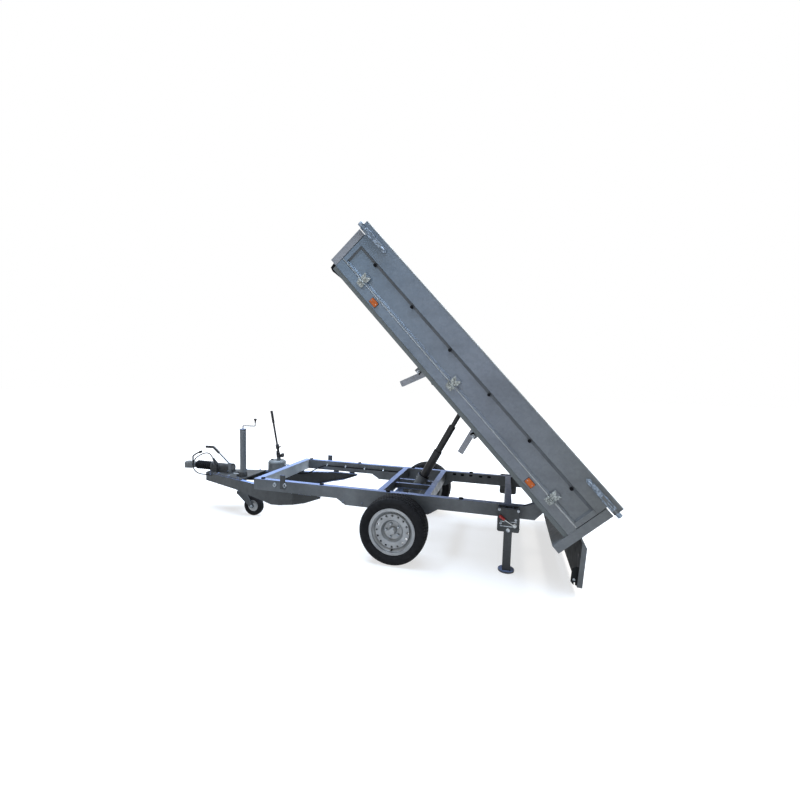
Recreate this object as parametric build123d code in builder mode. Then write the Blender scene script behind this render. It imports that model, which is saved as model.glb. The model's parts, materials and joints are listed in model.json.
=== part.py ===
from build123d import *
from math import atan2, cos, degrees, hypot, radians, sin, tan
import os

# Tipper trailer: a flat tipping bed on a single axle chassis, bed raised, tailgate hanging.
# Millimetres. X points forward, Y to the left, Z up.
# The origin is on the ground below the middle of the whole trailer.

os.makedirs("parts", exist_ok=True)

SIDES = (("left", 1), ("right", -1))
CUT = 6.0  # overrun of every cut past the face it opens
PIN_GAP = 0.1  # radial running clearance of pins in bores
SEAT_GAP = 0.3  # clearance of round pieces that seat in one another

# Main places
AXLE_X = -505.0
TYRE_RADIUS = 262.0

# Chassis rails: rectangular tube, with two cheeks round the bed's hinge at the rear
RAIL_TOP = 493.0
RAIL_HEIGHT = 98.0
RAIL_WIDTH = 50.0
RAIL_OUTER = 478.0
RAIL_WALL = 4.0
RAIL_FRONT_REACH = 1365.0
RAIL_TUBE_END = 108.0  # from the bed's hinge forward to the end of the tube
CHEEK_THICKNESS = 10.0
CHEEK_RUN = 90.0
CHEEK_TAIL = 20.0
CHEEK_LAP = 30.0
BOSS_RADIUS = 45.0
HINGE_PIN_RADIUS = 12.0

# Bed hinge and tilt
PIVOT_REACH = 1060.0
PIVOT_Z = 483.0
TILT_DEG = 47.0

# Crossmembers: front edge of each, forward of the axle, and its depth
CROSS_WIDTH = 50.0
CROSS_WALL = 4.0
FRONT_CROSS_WIDTH = 60.0
CROSS_HEIGHT = 90.0
CYLINDER_CROSS_FRONT = 184.0
CYLINDER_CROSS_REAR = -210.0
REAR_CROSS = -846.0

# Rubber buffers and guide plates on the rails
BUFFER_RADIUS = 18.0
BUFFER_HEIGHT = 10.0
BUFFER_REACHES = (1285.0, 710.0, 113.0, -487.0)
GUIDE_REACH = 1072.0
GUIDE_WIDTH = 50.0
GUIDE_RISE = 56.0
GUIDE_THICKNESS = 6.0
GUIDE_GRIP = 70.0

# Drawbar: two pressed channels that run in a V to the coupling
DRAWBAR_TOP = 380.0
DRAWBAR_WEB = 5.0
DRAWBAR_FLANGE = 38.0
DRAWBAR_TIP_REACH = 2250.0
DRAWBAR_TIP_Y = 55.0
DRAWBAR_BEND_REACH = 1000.0
DRAWBAR_BEND_Y = 442.0
DRAWBAR_TAIL_REACH = 730.0
# Lower edge of the channel: distance ahead of the axle and height
DRAWBAR_BELLY = (
    (730.0, 362.0),
    (880.0, 305.0),
    (1170.0, 240.0),
    (1270.0, 226.0),
    (1365.0, 237.0),
    (1780.0, 277.0),
    (2250.0, 292.0),
)
SPACER_LENGTH = 55.0
SPACER_REACHES = (975.0, 790.0)

# Gland on the left channel where the electric cable comes out
CABLE_GLAND = 16.0
CABLE_GLAND_REACH = 2172.0
CABLE_GLAND_Y = 88.0
CABLE_GLAND_Z = 362.0

# Bridge plate between the channels and the overrun device on it
BRIDGE_REAR = 1700.0
BRIDGE_FRONT = 2230.0
BRIDGE_THICKNESS = 8.0
DRAW_Z = 438.0
DRAW_RADIUS = 25.0
HOUSING_REAR = 1960.0
HOUSING_LENGTH = 250.0
HOUSING_RADIUS = 38.0
HOUSING_FOOT_WIDTH = 90.0
HOUSING_FOOT_HEIGHT = 20.0
HOUSING_COLLAR = 22.0
BELLOWS_LENGTH = 196.0
BELLOWS_RADIUS = 46.0
BELLOWS_RADIUS_ROOT = 35.0
BELLOWS_FOLDS = 7
COUPLING_BALL_AHEAD = 112.0  # the ball's middle ahead of the bellows
COUPLING_HEAD_RADIUS = 44.0
COUPLING_TOP = 466.0
COUPLING_BOTTOM = 398.0
BALL_RADIUS = 25.0
BALL_GAP = 0.5
SOCKET_THROAT = 14.0
COUPLING_NECK_LENGTH = 62.0
COUPLING_NECK_WIDTH = 58.0

# Handles: round bar and grip
HANDLE_RADIUS = 8.0
GRIP_RADIUS = 13.0
BRAKE_PIVOT_REACH = 1955.0
BRAKE_PIVOT_Z = 488.0
BRAKE_LEVER_Y = 54.0
BRAKE_BEND_REACH = 2152.0
BRAKE_BEND_Z = 652.0
BRAKE_TIP_REACH = 2243.0
BRAKE_TIP_Z = 650.0
BRAKE_GRIP_SHARE = 0.34  # part of the long run that the grip covers

# Jockey wheel
JOCKEY_REACH = 1759.0
JOCKEY_Y = 100.0
JOCKEY_TUBE_RADIUS = 30.0
JOCKEY_TUBE_BOTTOM = 300.0
JOCKEY_TUBE_TOP = 870.0
JOCKEY_STEM_RADIUS = 24.0
JOCKEY_WHEEL_RADIUS = 100.0
JOCKEY_WHEEL_WIDTH = 60.0
JOCKEY_HUB_RADIUS = 34.0
JOCKEY_TRAIL = 124.0
JOCKEY_FORK_TOP = 240.0
JOCKEY_FORK_PLATE = 6.0
JOCKEY_FORK_GAP = 6.0
JOCKEY_AXLE_RADIUS = 8.0
CRANK_RADIUS = 7.0
CRANK_RISE = 34.0
CRANK_ARM = 143.0
CRANK_GRIP = 75.0

# Hand pump on the right channel
PUMP_AHEAD = 235.0  # the pump's middle ahead of the rails
PUMP_Y = -262.0
PUMP_RADIUS = 94.0
PUMP_HEIGHT = 112.0
PUMP_BASE = 8.0
PUMP_COLUMN_RADIUS = 20.0
PUMP_COLUMN_HEIGHT = 60.0
PUMP_COLUMN_BACK = 20.0
PUMP_LEVER_RADIUS = 9.0
PUMP_LEVER_RISE = 468.0
PUMP_LEVER_LEAN = 90.0

# Hydraulic hose, from the pump under the front crossmember and along the right rail
HOSE_RADIUS = 6.0

# Axle: beam, plates under the rails, trailing arms and stubs
AXLE_BEAM_REACH = 165.0
AXLE_BEAM_SIZE = 70.0
AXLE_BEAM_WALL = 6.0
AXLE_PLATE_DEPTH = 50.0
AXLE_PLATE_FRONT = 560.0
AXLE_PLATE_REAR = -310.0
AXLE_PLATE_SLOPE = 80.0
AXLE_PLATE_WALL = 6.0
ARM_THICKNESS = 22.0
ARM_GAP = 8.0
ARM_END_RADIUS = 46.0
STUB_RADIUS = 20.0
STUB_PAST = 27.0  # end of the stub past the middle of the wheel

# Wheels
WHEEL_SET = 124.0  # from the drum's inner edge out to the middle of the wheel
TYRE_WIDTH = 195.0
RIM_RADIUS = 165.0
RIM_FLANGE_RADIUS = 182.0
RIM_WIDTH = 152.0
RIM_SHEET = 5.0
RIM_WELL_RADIUS = 142.0
RIM_HOLES = 16
RIM_HOLE_RADIUS = 8.5
RIM_HOLE_CIRCLE = 122.0
DISC_HUB_RADIUS = 70.0
DRUM_RADIUS = 108.0
DRUM_WIDTH = 58.0
DRUM_WALL = 8.0
BACK_PLATE = 4.0
DRUM_GAP = 5.0
HUB_RADIUS = 45.0
HUB_CAP_LENGTH = 26.0

# Swinging prop stands at the rear
STAND_REACH = -851.0
STAND_PLATE_WIDTH = 160.0
STAND_PLATE_HEIGHT = 182.0
STAND_PLATE_THICKNESS = 8.0
STAND_TUBE = 60.0
STAND_WALL = 4.0
STAND_TOP = 488.0
STAND_PIVOT_Z = 322.0
STAND_PIN_RADIUS = 12.0
STAND_FOOT_RADIUS = 60.0
STAND_FOOT_THICKNESS = 12.0
STAND_LEVER_RADIUS = 6.0

# Cylinder
TRUNNION_REACH = -46.0
TRUNNION_Z = 446.0
TRUNNION_RADIUS = 15.0
BARREL_RADIUS = 50.0
BARREL_ABOVE = 100.0  # trunnion to the top of the barrel
BARREL_BELOW = 200.0
BARREL_FLOOR = 14.0
STAGE_RADII = (38.0, 31.0, 20.0)
STAGE_PROUD = 10.0  # how far each stage stands out of the one around it when closed
STAGE_END_GAP = 1.0  # from the foot of each stage to the floor under it when closed
EYE_S = 969.0
EYE_T = 100.0
EYE_RADIUS = 21.0
EYE_WIDTH = 40.0
EYE_PIN_RADIUS = 16.0
EYE_PIN_HEAD = 8.0
CRADLE_HEIGHT = 50.0
CRADLE_FLANGE = 28.0
CRADLE_WALL = 5.0
CRADLE_INNER = 58.0

# Bed, measured along the floor (s) and off it (t) from the hinge
BED_REAR = -222.0
BED_FRONT = 2366.0
BED_HALF = 780.0
FLOOR_TOP = 150.0
FLOOR_SHEET = 3.0
WALL = 30.0  # thickness of side, front and rear walls
SIDE_RAIL_BOTTOM = 85.0
SIDE_LIP_BOTTOM = 52.0
SIDE_LIP_STEP = 6.0
SIDE_RAIL_SHEET = 4.0
POST_WIDTH_REAR = 62.0
POST_WIDTH_FRONT = 54.0
POST_TOP = 384.0
REAR_POST_BOTTOM = -45.0
REAR_BEAM_WALL = 4.0
STRINGER_BOTTOM = 25.0
STRINGER_HEIGHT = 55.0
STRINGER_WIDTH = 44.0
STRINGER_WALL = 4.0
STRINGER_REAR = 80.0
LUG_THICKNESS = 20.0
LUG_RADIUS = 26.0
BEARER_PLACES = (180.0, 470.0, 765.0, 1080.0, 1290.0, 1560.0, 1830.0, 2100.0)
BEARER_WIDTH = 40.0
BEARER_SHEET = 3.0

# Side walls
SIDE_HINGE_T = 150.0
SIDE_HINGE_PROUD = 9.0
SIDE_BOTTOM = 156.0
SIDE_TOP = 460.0
SIDE_GAP = 6.0
FIELD_BOTTOM = 168.0
FIELD_TOP = 312.0
FIELD_MARGIN = 26.0
FIELD_DEPTH = 11.0
SIDE_SHEET = 3.0
KNOB_RADIUS = 11.0
KNOB_LENGTH = 20.0
KNOB_T = 298.0
KNOB_FIRST = 67.0
KNOB_PITCH = 405.6
KNOB_COUNT = 6
KNOB_PLACES = [KNOB_FIRST + index * KNOB_PITCH for index in range(KNOB_COUNT)]
SIDE_HINGE_PLACES = (91.0, 1095.0, 2077.0)
SIDE_HINGE_WIDTH = 64.0
SIDE_HINGE_LEAF = 34.0
STRAP_LEAF = 66.0
LEAF_THICKNESS = 4.0
KNUCKLE_RADIUS = 7.5
KNUCKLE_PIN_RADIUS = 4.0
KNUCKLE_GAP = 1.0
KNUCKLE_LENGTH = 22.0

# Side markers and stays
MARKER_PLACES = (256.0, 1906.0)
MARKER_T = 118.0
MARKER_LENGTH = 62.0
MARKER_HEIGHT = 38.0
MARKER_DEPTH = 9.0
STAY_Y = 600.0
STAY_WIDTH = 45.0
STAY_DEPTH = 25.0
STAY_SHEET = 3.0

# Tailgate, measured off its hinge line
GATE_HINGE_S = -257.0
GATE_HINGE_T = 131.0
GATE_HALF = 742.0
GATE_OUTER = 3.0
GATE_THICKNESS = 33.0
GATE_LOW = 18.0
GATE_LENGTH = 327.0
GATE_SHEET = 3.0
GATE_EAR_PLACES = (-600.0, 0.0, 600.0)
GATE_EAR_THICKNESS = 14.0
GATE_EAR_RADIUS = 12.0
GATE_PIN_RADIUS = 6.0
CLAW_INSET = 26.0
CLAW_THICKNESS = 12.0
CLAW_LENGTH = 124.0
CLAW_DEPTH = 38.0

RAIL_FRONT = AXLE_X + RAIL_FRONT_REACH
RAIL_BOTTOM = RAIL_TOP - RAIL_HEIGHT
RAIL_INNER = RAIL_OUTER - RAIL_WIDTH
RAIL_Y = RAIL_OUTER - RAIL_WIDTH / 2
PIVOT_X = AXLE_X - PIVOT_REACH
TILT = radians(TILT_DEG)
BED_LENGTH = BED_FRONT - BED_REAR
FLOOR_BOTTOM = FLOOR_TOP - FLOOR_SHEET
STRINGER_TOP = STRINGER_BOTTOM + STRINGER_HEIGHT
STRINGER_INNER = RAIL_INNER

# The bed's own plane: x along the floor towards the front, y to the left, z off the floor
BED = Plane(
    origin=(PIVOT_X, 0, PIVOT_Z),
    x_dir=(cos(TILT), 0, sin(TILT)),
    z_dir=(-sin(TILT), 0, cos(TILT)),
)


def chassis_side(y):
    """Plane of outlines in X and Z at a distance to the left; extrusion runs to the right."""
    return Plane.XZ.offset(-y)


def bed_side(y):
    """Plane of outlines along and off the bed's floor; extrusion runs to the right."""
    origin = BED.from_local_coords(Vector(0, y, 0))
    return Plane(origin=origin, x_dir=BED.x_dir, z_dir=(0, -1, 0))


def bed_section(s):
    """Plane across the bed at a distance along it: x to the left, y off the floor."""
    origin = BED.from_local_coords(Vector(s, 0, 0))
    return Plane(origin=origin, x_dir=(0, 1, 0), z_dir=BED.x_dir)


BED_ACROSS = bed_section(0)


def box_between(plane, xs, ys, zs, mode=Mode.ADD):
    """Block between pairs of local places, made on the part being built."""
    with BuildSketch(plane.offset(zs[0])) as outline:
        with Locations(((xs[0] + xs[1]) / 2, (ys[0] + ys[1]) / 2)):
            Rectangle(xs[1] - xs[0], ys[1] - ys[0])
    extrude(outline.sketch, amount=zs[1] - zs[0], mode=mode)


def disc(plane, centre, radius, zs, mode=Mode.ADD):
    """Round bar between two heights over a plane, made on the part being built."""
    with BuildSketch(plane.offset(zs[0])) as outline:
        with Locations(centre):
            Circle(radius)
    extrude(outline.sketch, amount=zs[1] - zs[0], mode=mode)


def tube_bar(plane, centre, size, wall, length):
    """Rectangular tube that runs off a plane."""
    with BuildSketch(plane) as outline:
        with Locations(centre):
            Rectangle(size[0], size[1])
            Rectangle(size[0] - 2 * wall, size[1] - 2 * wall, mode=Mode.SUBTRACT)
    extrude(outline.sketch, amount=length)


def round_bar(points, radii, radius):
    """Round bar along straight runs joined by tangent arcs."""
    with BuildLine() as path:
        FilletPolyline(*points, radius=radii)
    start = path.line @ 0
    with BuildSketch(Plane(origin=start, z_dir=path.line % 0)) as outline:
        Circle(radius)
    sweep(outline.sketch, path=path.line)


def mirrored(y_pair, side):
    """A pair of distances from the middle plane, on one side of the trailer."""
    return tuple(sorted((side * y_pair[0], side * y_pair[1])))


def keep(piece, node):
    """Name a finished piece and write it out."""
    piece.part.label = node
    export_step(piece.part, f"parts/{node}.step")


# Rails with hinge cheeks
def build_rail(side):
    centre = side * RAIL_Y
    tube_rear = PIVOT_X + RAIL_TUBE_END
    with BuildPart() as rail:
        tube_bar(
            Plane.YZ.offset(tube_rear),
            (centre, RAIL_TOP - RAIL_HEIGHT / 2),
            (RAIL_WIDTH, RAIL_HEIGHT),
            RAIL_WALL,
            RAIL_FRONT - tube_rear,
        )
        for inner in (RAIL_INNER, RAIL_OUTER - CHEEK_THICKNESS):
            low, high = mirrored((inner, inner + CHEEK_THICKNESS), side)
            with BuildSketch(chassis_side(high)) as cheek:
                with Locations((PIVOT_X, PIVOT_Z)):
                    Circle(BOSS_RADIUS)
                with Locations((PIVOT_X + (CHEEK_RUN + CHEEK_TAIL) / 2, RAIL_TOP - RAIL_HEIGHT / 2)):
                    Rectangle(CHEEK_RUN - CHEEK_TAIL, RAIL_HEIGHT)
                make_hull()
                with Locations((tube_rear, RAIL_TOP - RAIL_HEIGHT / 2)):
                    Rectangle(2 * CHEEK_LAP, RAIL_HEIGHT)
            extrude(cheek.sketch, amount=high - low)
        low, high = mirrored((RAIL_INNER, RAIL_OUTER), side)
        disc(chassis_side(high), (PIVOT_X, PIVOT_Z), HINGE_PIN_RADIUS, (0, high - low))
    return rail


def build_crossmembers(reaches, width, height):
    with BuildPart() as crossmembers:
        for reach in reaches:
            tube_bar(
                chassis_side(RAIL_INNER),
                (AXLE_X + reach, RAIL_TOP - height / 2),
                (width, height),
                CROSS_WALL,
                2 * RAIL_INNER,
            )
    return crossmembers


for name, side in SIDES:
    keep(build_rail(side), f"rail_{name}")

CROSSMEMBERS = (
    # name, middles ahead of the axle, width, height
    ("front_crossmember", (RAIL_FRONT_REACH - FRONT_CROSS_WIDTH / 2,), FRONT_CROSS_WIDTH, RAIL_HEIGHT),
    ("cylinder_crossmembers", (CYLINDER_CROSS_FRONT, CYLINDER_CROSS_REAR), CROSS_WIDTH, CROSS_HEIGHT),
    ("rear_crossmember", (REAR_CROSS,), CROSS_WIDTH, CROSS_HEIGHT),
)
for name, reaches, width, height in CROSSMEMBERS:
    keep(build_crossmembers(reaches, width, height), name)

# Rubber buffers on the rails
with BuildPart() as bed_buffers:
    with BuildSketch(Plane.XY.offset(RAIL_TOP)):
        with Locations([(AXLE_X + reach, side * RAIL_Y) for reach in BUFFER_REACHES for _, side in SIDES]):
            Circle(BUFFER_RADIUS)
    extrude(amount=BUFFER_HEIGHT)
keep(bed_buffers, "bed_buffers")

# Guide plates that centre the lowered bed
with BuildPart() as guide_plates:
    for _, side in SIDES:
        low, high = mirrored((RAIL_OUTER, RAIL_OUTER + GUIDE_THICKNESS), side)
        box_between(
            Plane.XY,
            (AXLE_X + GUIDE_REACH - GUIDE_WIDTH / 2, AXLE_X + GUIDE_REACH + GUIDE_WIDTH / 2),
            (low, high),
            (RAIL_TOP - GUIDE_GRIP, RAIL_TOP + GUIDE_RISE),
        )
keep(guide_plates, "guide_plates")

# Drawbar channels
def drawbar_band(side, inner_offset, outer_offset, height):
    """Upright band that follows the channel in plan, between two distances inside its face."""
    tail = (AXLE_X + DRAWBAR_TAIL_REACH - CUT, DRAWBAR_BEND_Y)
    bend = (AXLE_X + DRAWBAR_BEND_REACH, DRAWBAR_BEND_Y)
    tip = (AXLE_X + DRAWBAR_TIP_REACH + CUT, DRAWBAR_TIP_Y)
    lean = atan2(bend[1] - tip[1], tip[0] - bend[0])
    shift = tan(lean / 2)
    rows = []
    for offset in (outer_offset, inner_offset):
        across = (-sin(lean) * offset, -cos(lean) * offset)
        rows.append(
            (
                (tail[0], tail[1] - offset),
                (bend[0] - shift * offset, bend[1] - offset),
                (tip[0] + across[0], tip[1] + across[1]),
            )
        )
    outline_points = [(x, side * y) for x, y in rows[0] + tuple(reversed(rows[1]))]
    with BuildPart(mode=Mode.PRIVATE) as band:
        with BuildSketch(Plane.XY) as plan:
            with BuildLine():
                Polyline(*outline_points, close=True)
            make_face()
        extrude(plan.sketch, amount=height)
    return band.part


def drawbar_profile(inset):
    """Side outline of the channel, its top and lower edge drawn in by the inset."""
    belly = [(AXLE_X + reach, height + inset) for reach, height in DRAWBAR_BELLY]
    overrun = CUT if inset else 0
    belly[0] = (belly[0][0] - overrun, belly[0][1])
    belly[-1] = (belly[-1][0] + overrun, belly[-1][1])
    top = ((belly[-1][0], DRAWBAR_TOP - inset), (belly[0][0], DRAWBAR_TOP - inset))
    with BuildPart(mode=Mode.PRIVATE) as profile:
        with BuildSketch(chassis_side(RAIL_OUTER)) as outline:
            with BuildLine():
                Polyline(*belly, *top, close=True)
            make_face()
        extrude(outline.sketch, amount=2 * RAIL_OUTER)
    return profile.part


def drawbar_y(reach):
    """Distance of the channel's outer face from the middle at a distance ahead of the axle."""
    share = (reach - DRAWBAR_BEND_REACH) / (DRAWBAR_TIP_REACH - DRAWBAR_BEND_REACH)
    return DRAWBAR_BEND_Y + (DRAWBAR_TIP_Y - DRAWBAR_BEND_Y) * max(0, share)


# Each channel with the spacers that carry it under the rail and the front crossmember
for name, side in SIDES:
    channel = drawbar_band(side, DRAWBAR_FLANGE, 0, DRAWBAR_TOP + CUT) & drawbar_profile(0)
    inside = drawbar_band(side, DRAWBAR_FLANGE + CUT, DRAWBAR_WEB, DRAWBAR_TOP + CUT)
    hollow = inside & drawbar_profile(DRAWBAR_WEB)
    with BuildPart() as drawbar:
        add(channel)
        add(hollow, mode=Mode.SUBTRACT)
        if side > 0:
            box_between(
                Plane.XY,
                (AXLE_X + CABLE_GLAND_REACH - CABLE_GLAND, AXLE_X + CABLE_GLAND_REACH),
                (drawbar_y(CABLE_GLAND_REACH) - DRAWBAR_WEB, CABLE_GLAND_Y + CABLE_GLAND / 2),
                (CABLE_GLAND_Z - CABLE_GLAND / 2, CABLE_GLAND_Z + CABLE_GLAND / 2),
            )
        low, high = mirrored((RAIL_INNER, DRAWBAR_BEND_Y), side)
        for reach in SPACER_REACHES:
            place = AXLE_X + reach
            box_between(
                Plane.XY,
                (place - SPACER_LENGTH / 2, place + SPACER_LENGTH / 2),
                (low, high),
                (DRAWBAR_TOP, RAIL_BOTTOM),
            )
        face = drawbar_y(RAIL_FRONT_REACH) - DRAWBAR_WEB
        low, high = mirrored((face - DRAWBAR_FLANGE / 2, face), side)
        box_between(
            Plane.XY,
            (RAIL_FRONT - FRONT_CROSS_WIDTH, RAIL_FRONT),
            (low, high),
            (DRAWBAR_TOP, RAIL_BOTTOM),
        )
    keep(drawbar, f"drawbar_{name}")

# Bridge plate between the channels, with the jockey tube's clamp on it
JOCKEY_X = AXLE_X + JOCKEY_REACH
BRIDGE_TOP = DRAWBAR_TOP + BRIDGE_THICKNESS
CLAMP_HEIGHT = 46.0
CLAMP_WALL = 9.0
with BuildPart() as bridge_plate:
    rear_half = drawbar_y(BRIDGE_REAR) - DRAWBAR_WEB
    front_half = drawbar_y(BRIDGE_FRONT)
    with BuildSketch(Plane.XY.offset(DRAWBAR_TOP)):
        with BuildLine():
            Polyline(
                (AXLE_X + BRIDGE_REAR, rear_half),
                (AXLE_X + BRIDGE_FRONT, front_half),
                (AXLE_X + BRIDGE_FRONT, -front_half),
                (AXLE_X + BRIDGE_REAR, -rear_half),
                close=True,
            )
        make_face()
    extrude(amount=BRIDGE_THICKNESS)
    with BuildSketch(Plane.XY.offset(BRIDGE_TOP)):
        with Locations((JOCKEY_X, JOCKEY_Y)):
            Circle(JOCKEY_TUBE_RADIUS + CLAMP_WALL)
        with Locations((JOCKEY_X + JOCKEY_TUBE_RADIUS + CLAMP_WALL, JOCKEY_Y)):
            Rectangle(2 * JOCKEY_TUBE_RADIUS, JOCKEY_TUBE_RADIUS)
    extrude(amount=CLAMP_HEIGHT)
    disc(
        Plane.XY,
        (JOCKEY_X, JOCKEY_Y),
        JOCKEY_TUBE_RADIUS + SEAT_GAP,
        (DRAWBAR_TOP - CUT, BRIDGE_TOP + CLAMP_HEIGHT + CUT),
        mode=Mode.SUBTRACT,
    )
keep(bridge_plate, "bridge_plate")

# Overrun housing: a bored casting on a foot
HOUSING_X = AXLE_X + HOUSING_REAR
HOUSING_FRONT = HOUSING_X + HOUSING_LENGTH
with BuildPart() as overrun_housing:
    disc(Plane.YZ, (0, DRAW_Z), HOUSING_RADIUS, (HOUSING_X, HOUSING_FRONT))
    for place in (HOUSING_X, HOUSING_FRONT - HOUSING_COLLAR):
        disc(Plane.YZ, (0, DRAW_Z), HOUSING_RADIUS + SIDE_LIP_STEP, (place, place + HOUSING_COLLAR))
    box_between(
        Plane.XY,
        (HOUSING_X, HOUSING_FRONT),
        (-HOUSING_FOOT_WIDTH / 2, HOUSING_FOOT_WIDTH / 2),
        (BRIDGE_TOP, BRIDGE_TOP + HOUSING_FOOT_HEIGHT),
    )
    box_between(
        Plane.XY,
        (HOUSING_X, HOUSING_FRONT),
        (-HOUSING_RADIUS, HOUSING_RADIUS),
        (BRIDGE_TOP, DRAW_Z),
    )
    disc(
        Plane.YZ,
        (0, DRAW_Z),
        DRAW_RADIUS + SEAT_GAP,
        (HOUSING_X - CUT, HOUSING_FRONT + CUT),
        mode=Mode.SUBTRACT,
    )
keep(overrun_housing, "overrun_housing")

HEAD_X = HOUSING_FRONT + BELLOWS_LENGTH + COUPLING_BALL_AHEAD
NECK_REAR = HEAD_X - COUPLING_HEAD_RADIUS - COUPLING_NECK_LENGTH

# Rubber bellows round the draw tube
with BuildPart() as bellows:
    fold = BELLOWS_LENGTH / BELLOWS_FOLDS
    outline_points = [(HOUSING_FRONT, DRAW_RADIUS + SEAT_GAP)]
    for index in range(BELLOWS_FOLDS):
        start = HOUSING_FRONT + index * fold
        outline_points.append((start, BELLOWS_RADIUS_ROOT))
        outline_points.append((start + fold / 2, BELLOWS_RADIUS))
    outline_points.append((HOUSING_FRONT + BELLOWS_LENGTH, BELLOWS_RADIUS_ROOT))
    outline_points.append((HOUSING_FRONT + BELLOWS_LENGTH, DRAW_RADIUS + SEAT_GAP))
    with BuildSketch(Plane(origin=(0, 0, DRAW_Z), x_dir=(1, 0, 0), z_dir=(0, -1, 0))):
        with BuildLine():
            Polyline(*outline_points, close=True)
        make_face()
    revolve(axis=Axis((0, 0, DRAW_Z), (1, 0, 0)))
keep(bellows, "bellows")

# Coupling head with a socket for the towing ball, and the draw tube behind it
with BuildPart() as coupling_head:
    with BuildSketch(Plane.XY.offset(COUPLING_BOTTOM)):
        with Locations((HEAD_X, 0)):
            Circle(COUPLING_HEAD_RADIUS)
        with Locations((HEAD_X - COUPLING_HEAD_RADIUS, 0)):
            Rectangle(COUPLING_HEAD_RADIUS, COUPLING_NECK_WIDTH)
        make_hull()
    extrude(amount=COUPLING_TOP - COUPLING_BOTTOM)
    fillet(coupling_head.faces().sort_by(Axis.Z)[-1].edges(), COUPLING_HEAD_RADIUS / 2)
    box_between(
        Plane.XY,
        (NECK_REAR, HEAD_X - COUPLING_HEAD_RADIUS),
        (-COUPLING_NECK_WIDTH / 2, COUPLING_NECK_WIDTH / 2),
        (DRAW_Z - COUPLING_NECK_WIDTH / 2, DRAW_Z + COUPLING_NECK_WIDTH / 2 - CUT),
    )
    with Locations((HEAD_X, 0, COUPLING_BOTTOM + SOCKET_THROAT)):
        Sphere(BALL_RADIUS + BALL_GAP, mode=Mode.SUBTRACT)
    disc(
        Plane.XY,
        (HEAD_X, 0),
        BALL_RADIUS + BALL_GAP,
        (COUPLING_BOTTOM - CUT, COUPLING_BOTTOM + SOCKET_THROAT),
        mode=Mode.SUBTRACT,
    )
    disc(Plane.YZ, (0, DRAW_Z), DRAW_RADIUS, (HOUSING_X, NECK_REAR))
keep(coupling_head, "coupling_head")

# Coupling handle: bent bar with a grip
HANDLE_FOOT = (HEAD_X - COUPLING_HEAD_RADIUS - HANDLE_RADIUS, 0, DRAW_Z + COUPLING_NECK_WIDTH / 2 - 2 * CUT)
HANDLE_SHARES = ((0.0, 0.0), (0.0, 0.82), (-0.5, 1.2), (-0.9, 1.38))  # of the reach and rise
HANDLE_REACH = 96.0
HANDLE_RISE = 84.0
HANDLE_BEND = 24.0
GRIP_LENGTH = 54.0
handle_points = [
    (HANDLE_FOOT[0] + share_x * HANDLE_REACH, 0, HANDLE_FOOT[2] + share_z * HANDLE_RISE)
    for share_x, share_z in HANDLE_SHARES
]
with BuildPart() as coupling_handle:
    round_bar(handle_points, (HANDLE_BEND, HANDLE_BEND), HANDLE_RADIUS)
    add(coupling_head.part, mode=Mode.SUBTRACT)
keep(coupling_handle, "coupling_handle")

handle_end = Vector(*handle_points[-1])
handle_way = (handle_end - Vector(*handle_points[-2])).normalized()

# Handbrake lever and grip
brake_foot = Vector(AXLE_X + BRAKE_PIVOT_REACH, BRAKE_LEVER_Y, BRAKE_PIVOT_Z)
brake_bend = Vector(AXLE_X + BRAKE_BEND_REACH, BRAKE_LEVER_Y, BRAKE_BEND_Z)
brake_tip = Vector(AXLE_X + BRAKE_TIP_REACH, BRAKE_LEVER_Y, BRAKE_TIP_Z)
grip_start = brake_bend + (brake_foot - brake_bend) * BRAKE_GRIP_SHARE
with BuildPart() as handbrake_lever:
    with BuildSketch(Plane(origin=brake_foot, z_dir=grip_start - brake_foot)):
        Circle(HANDLE_RADIUS)
    extrude(amount=(grip_start - brake_foot).length)
    with BuildSketch(chassis_side(BRAKE_LEVER_Y + HANDLE_RADIUS)) as lug:
        with Locations((brake_foot.X, brake_foot.Z)):
            Circle(GRIP_RADIUS)
        with Locations((brake_foot.X, (brake_foot.Z + BRIDGE_TOP) / 2)):
            Rectangle(2 * GRIP_RADIUS, brake_foot.Z - BRIDGE_TOP)
    extrude(lug.sketch, amount=2 * HANDLE_RADIUS)
keep(handbrake_lever, "handbrake_lever")

# Grips of the coupling handle and the handbrake
with BuildPart() as lever_grips:
    round_bar((grip_start, brake_bend, brake_tip), (HANDLE_BEND,), GRIP_RADIUS)
    with BuildSketch(Plane(origin=handle_end, z_dir=handle_way)) as grip:
        Circle(GRIP_RADIUS)
    extrude(grip.sketch, amount=GRIP_LENGTH / 2)
keep(lever_grips, "lever_grips")

# Jockey wheel: outer tube and crank
with BuildPart() as jockey_tube:
    disc(Plane.XY, (JOCKEY_X, JOCKEY_Y), JOCKEY_TUBE_RADIUS, (JOCKEY_TUBE_BOTTOM, JOCKEY_TUBE_TOP))
    disc(
        Plane.XY,
        (JOCKEY_X, JOCKEY_Y),
        JOCKEY_STEM_RADIUS + PIN_GAP,
        (JOCKEY_TUBE_BOTTOM - CUT, JOCKEY_TUBE_TOP - CLAMP_WALL),
        mode=Mode.SUBTRACT,
    )
    disc(
        Plane.XY,
        (JOCKEY_X, JOCKEY_Y),
        JOCKEY_TUBE_RADIUS + RAIL_WALL,
        (JOCKEY_TUBE_TOP, JOCKEY_TUBE_TOP + RAIL_WALL),
    )
keep(jockey_tube, "jockey_tube")

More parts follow.
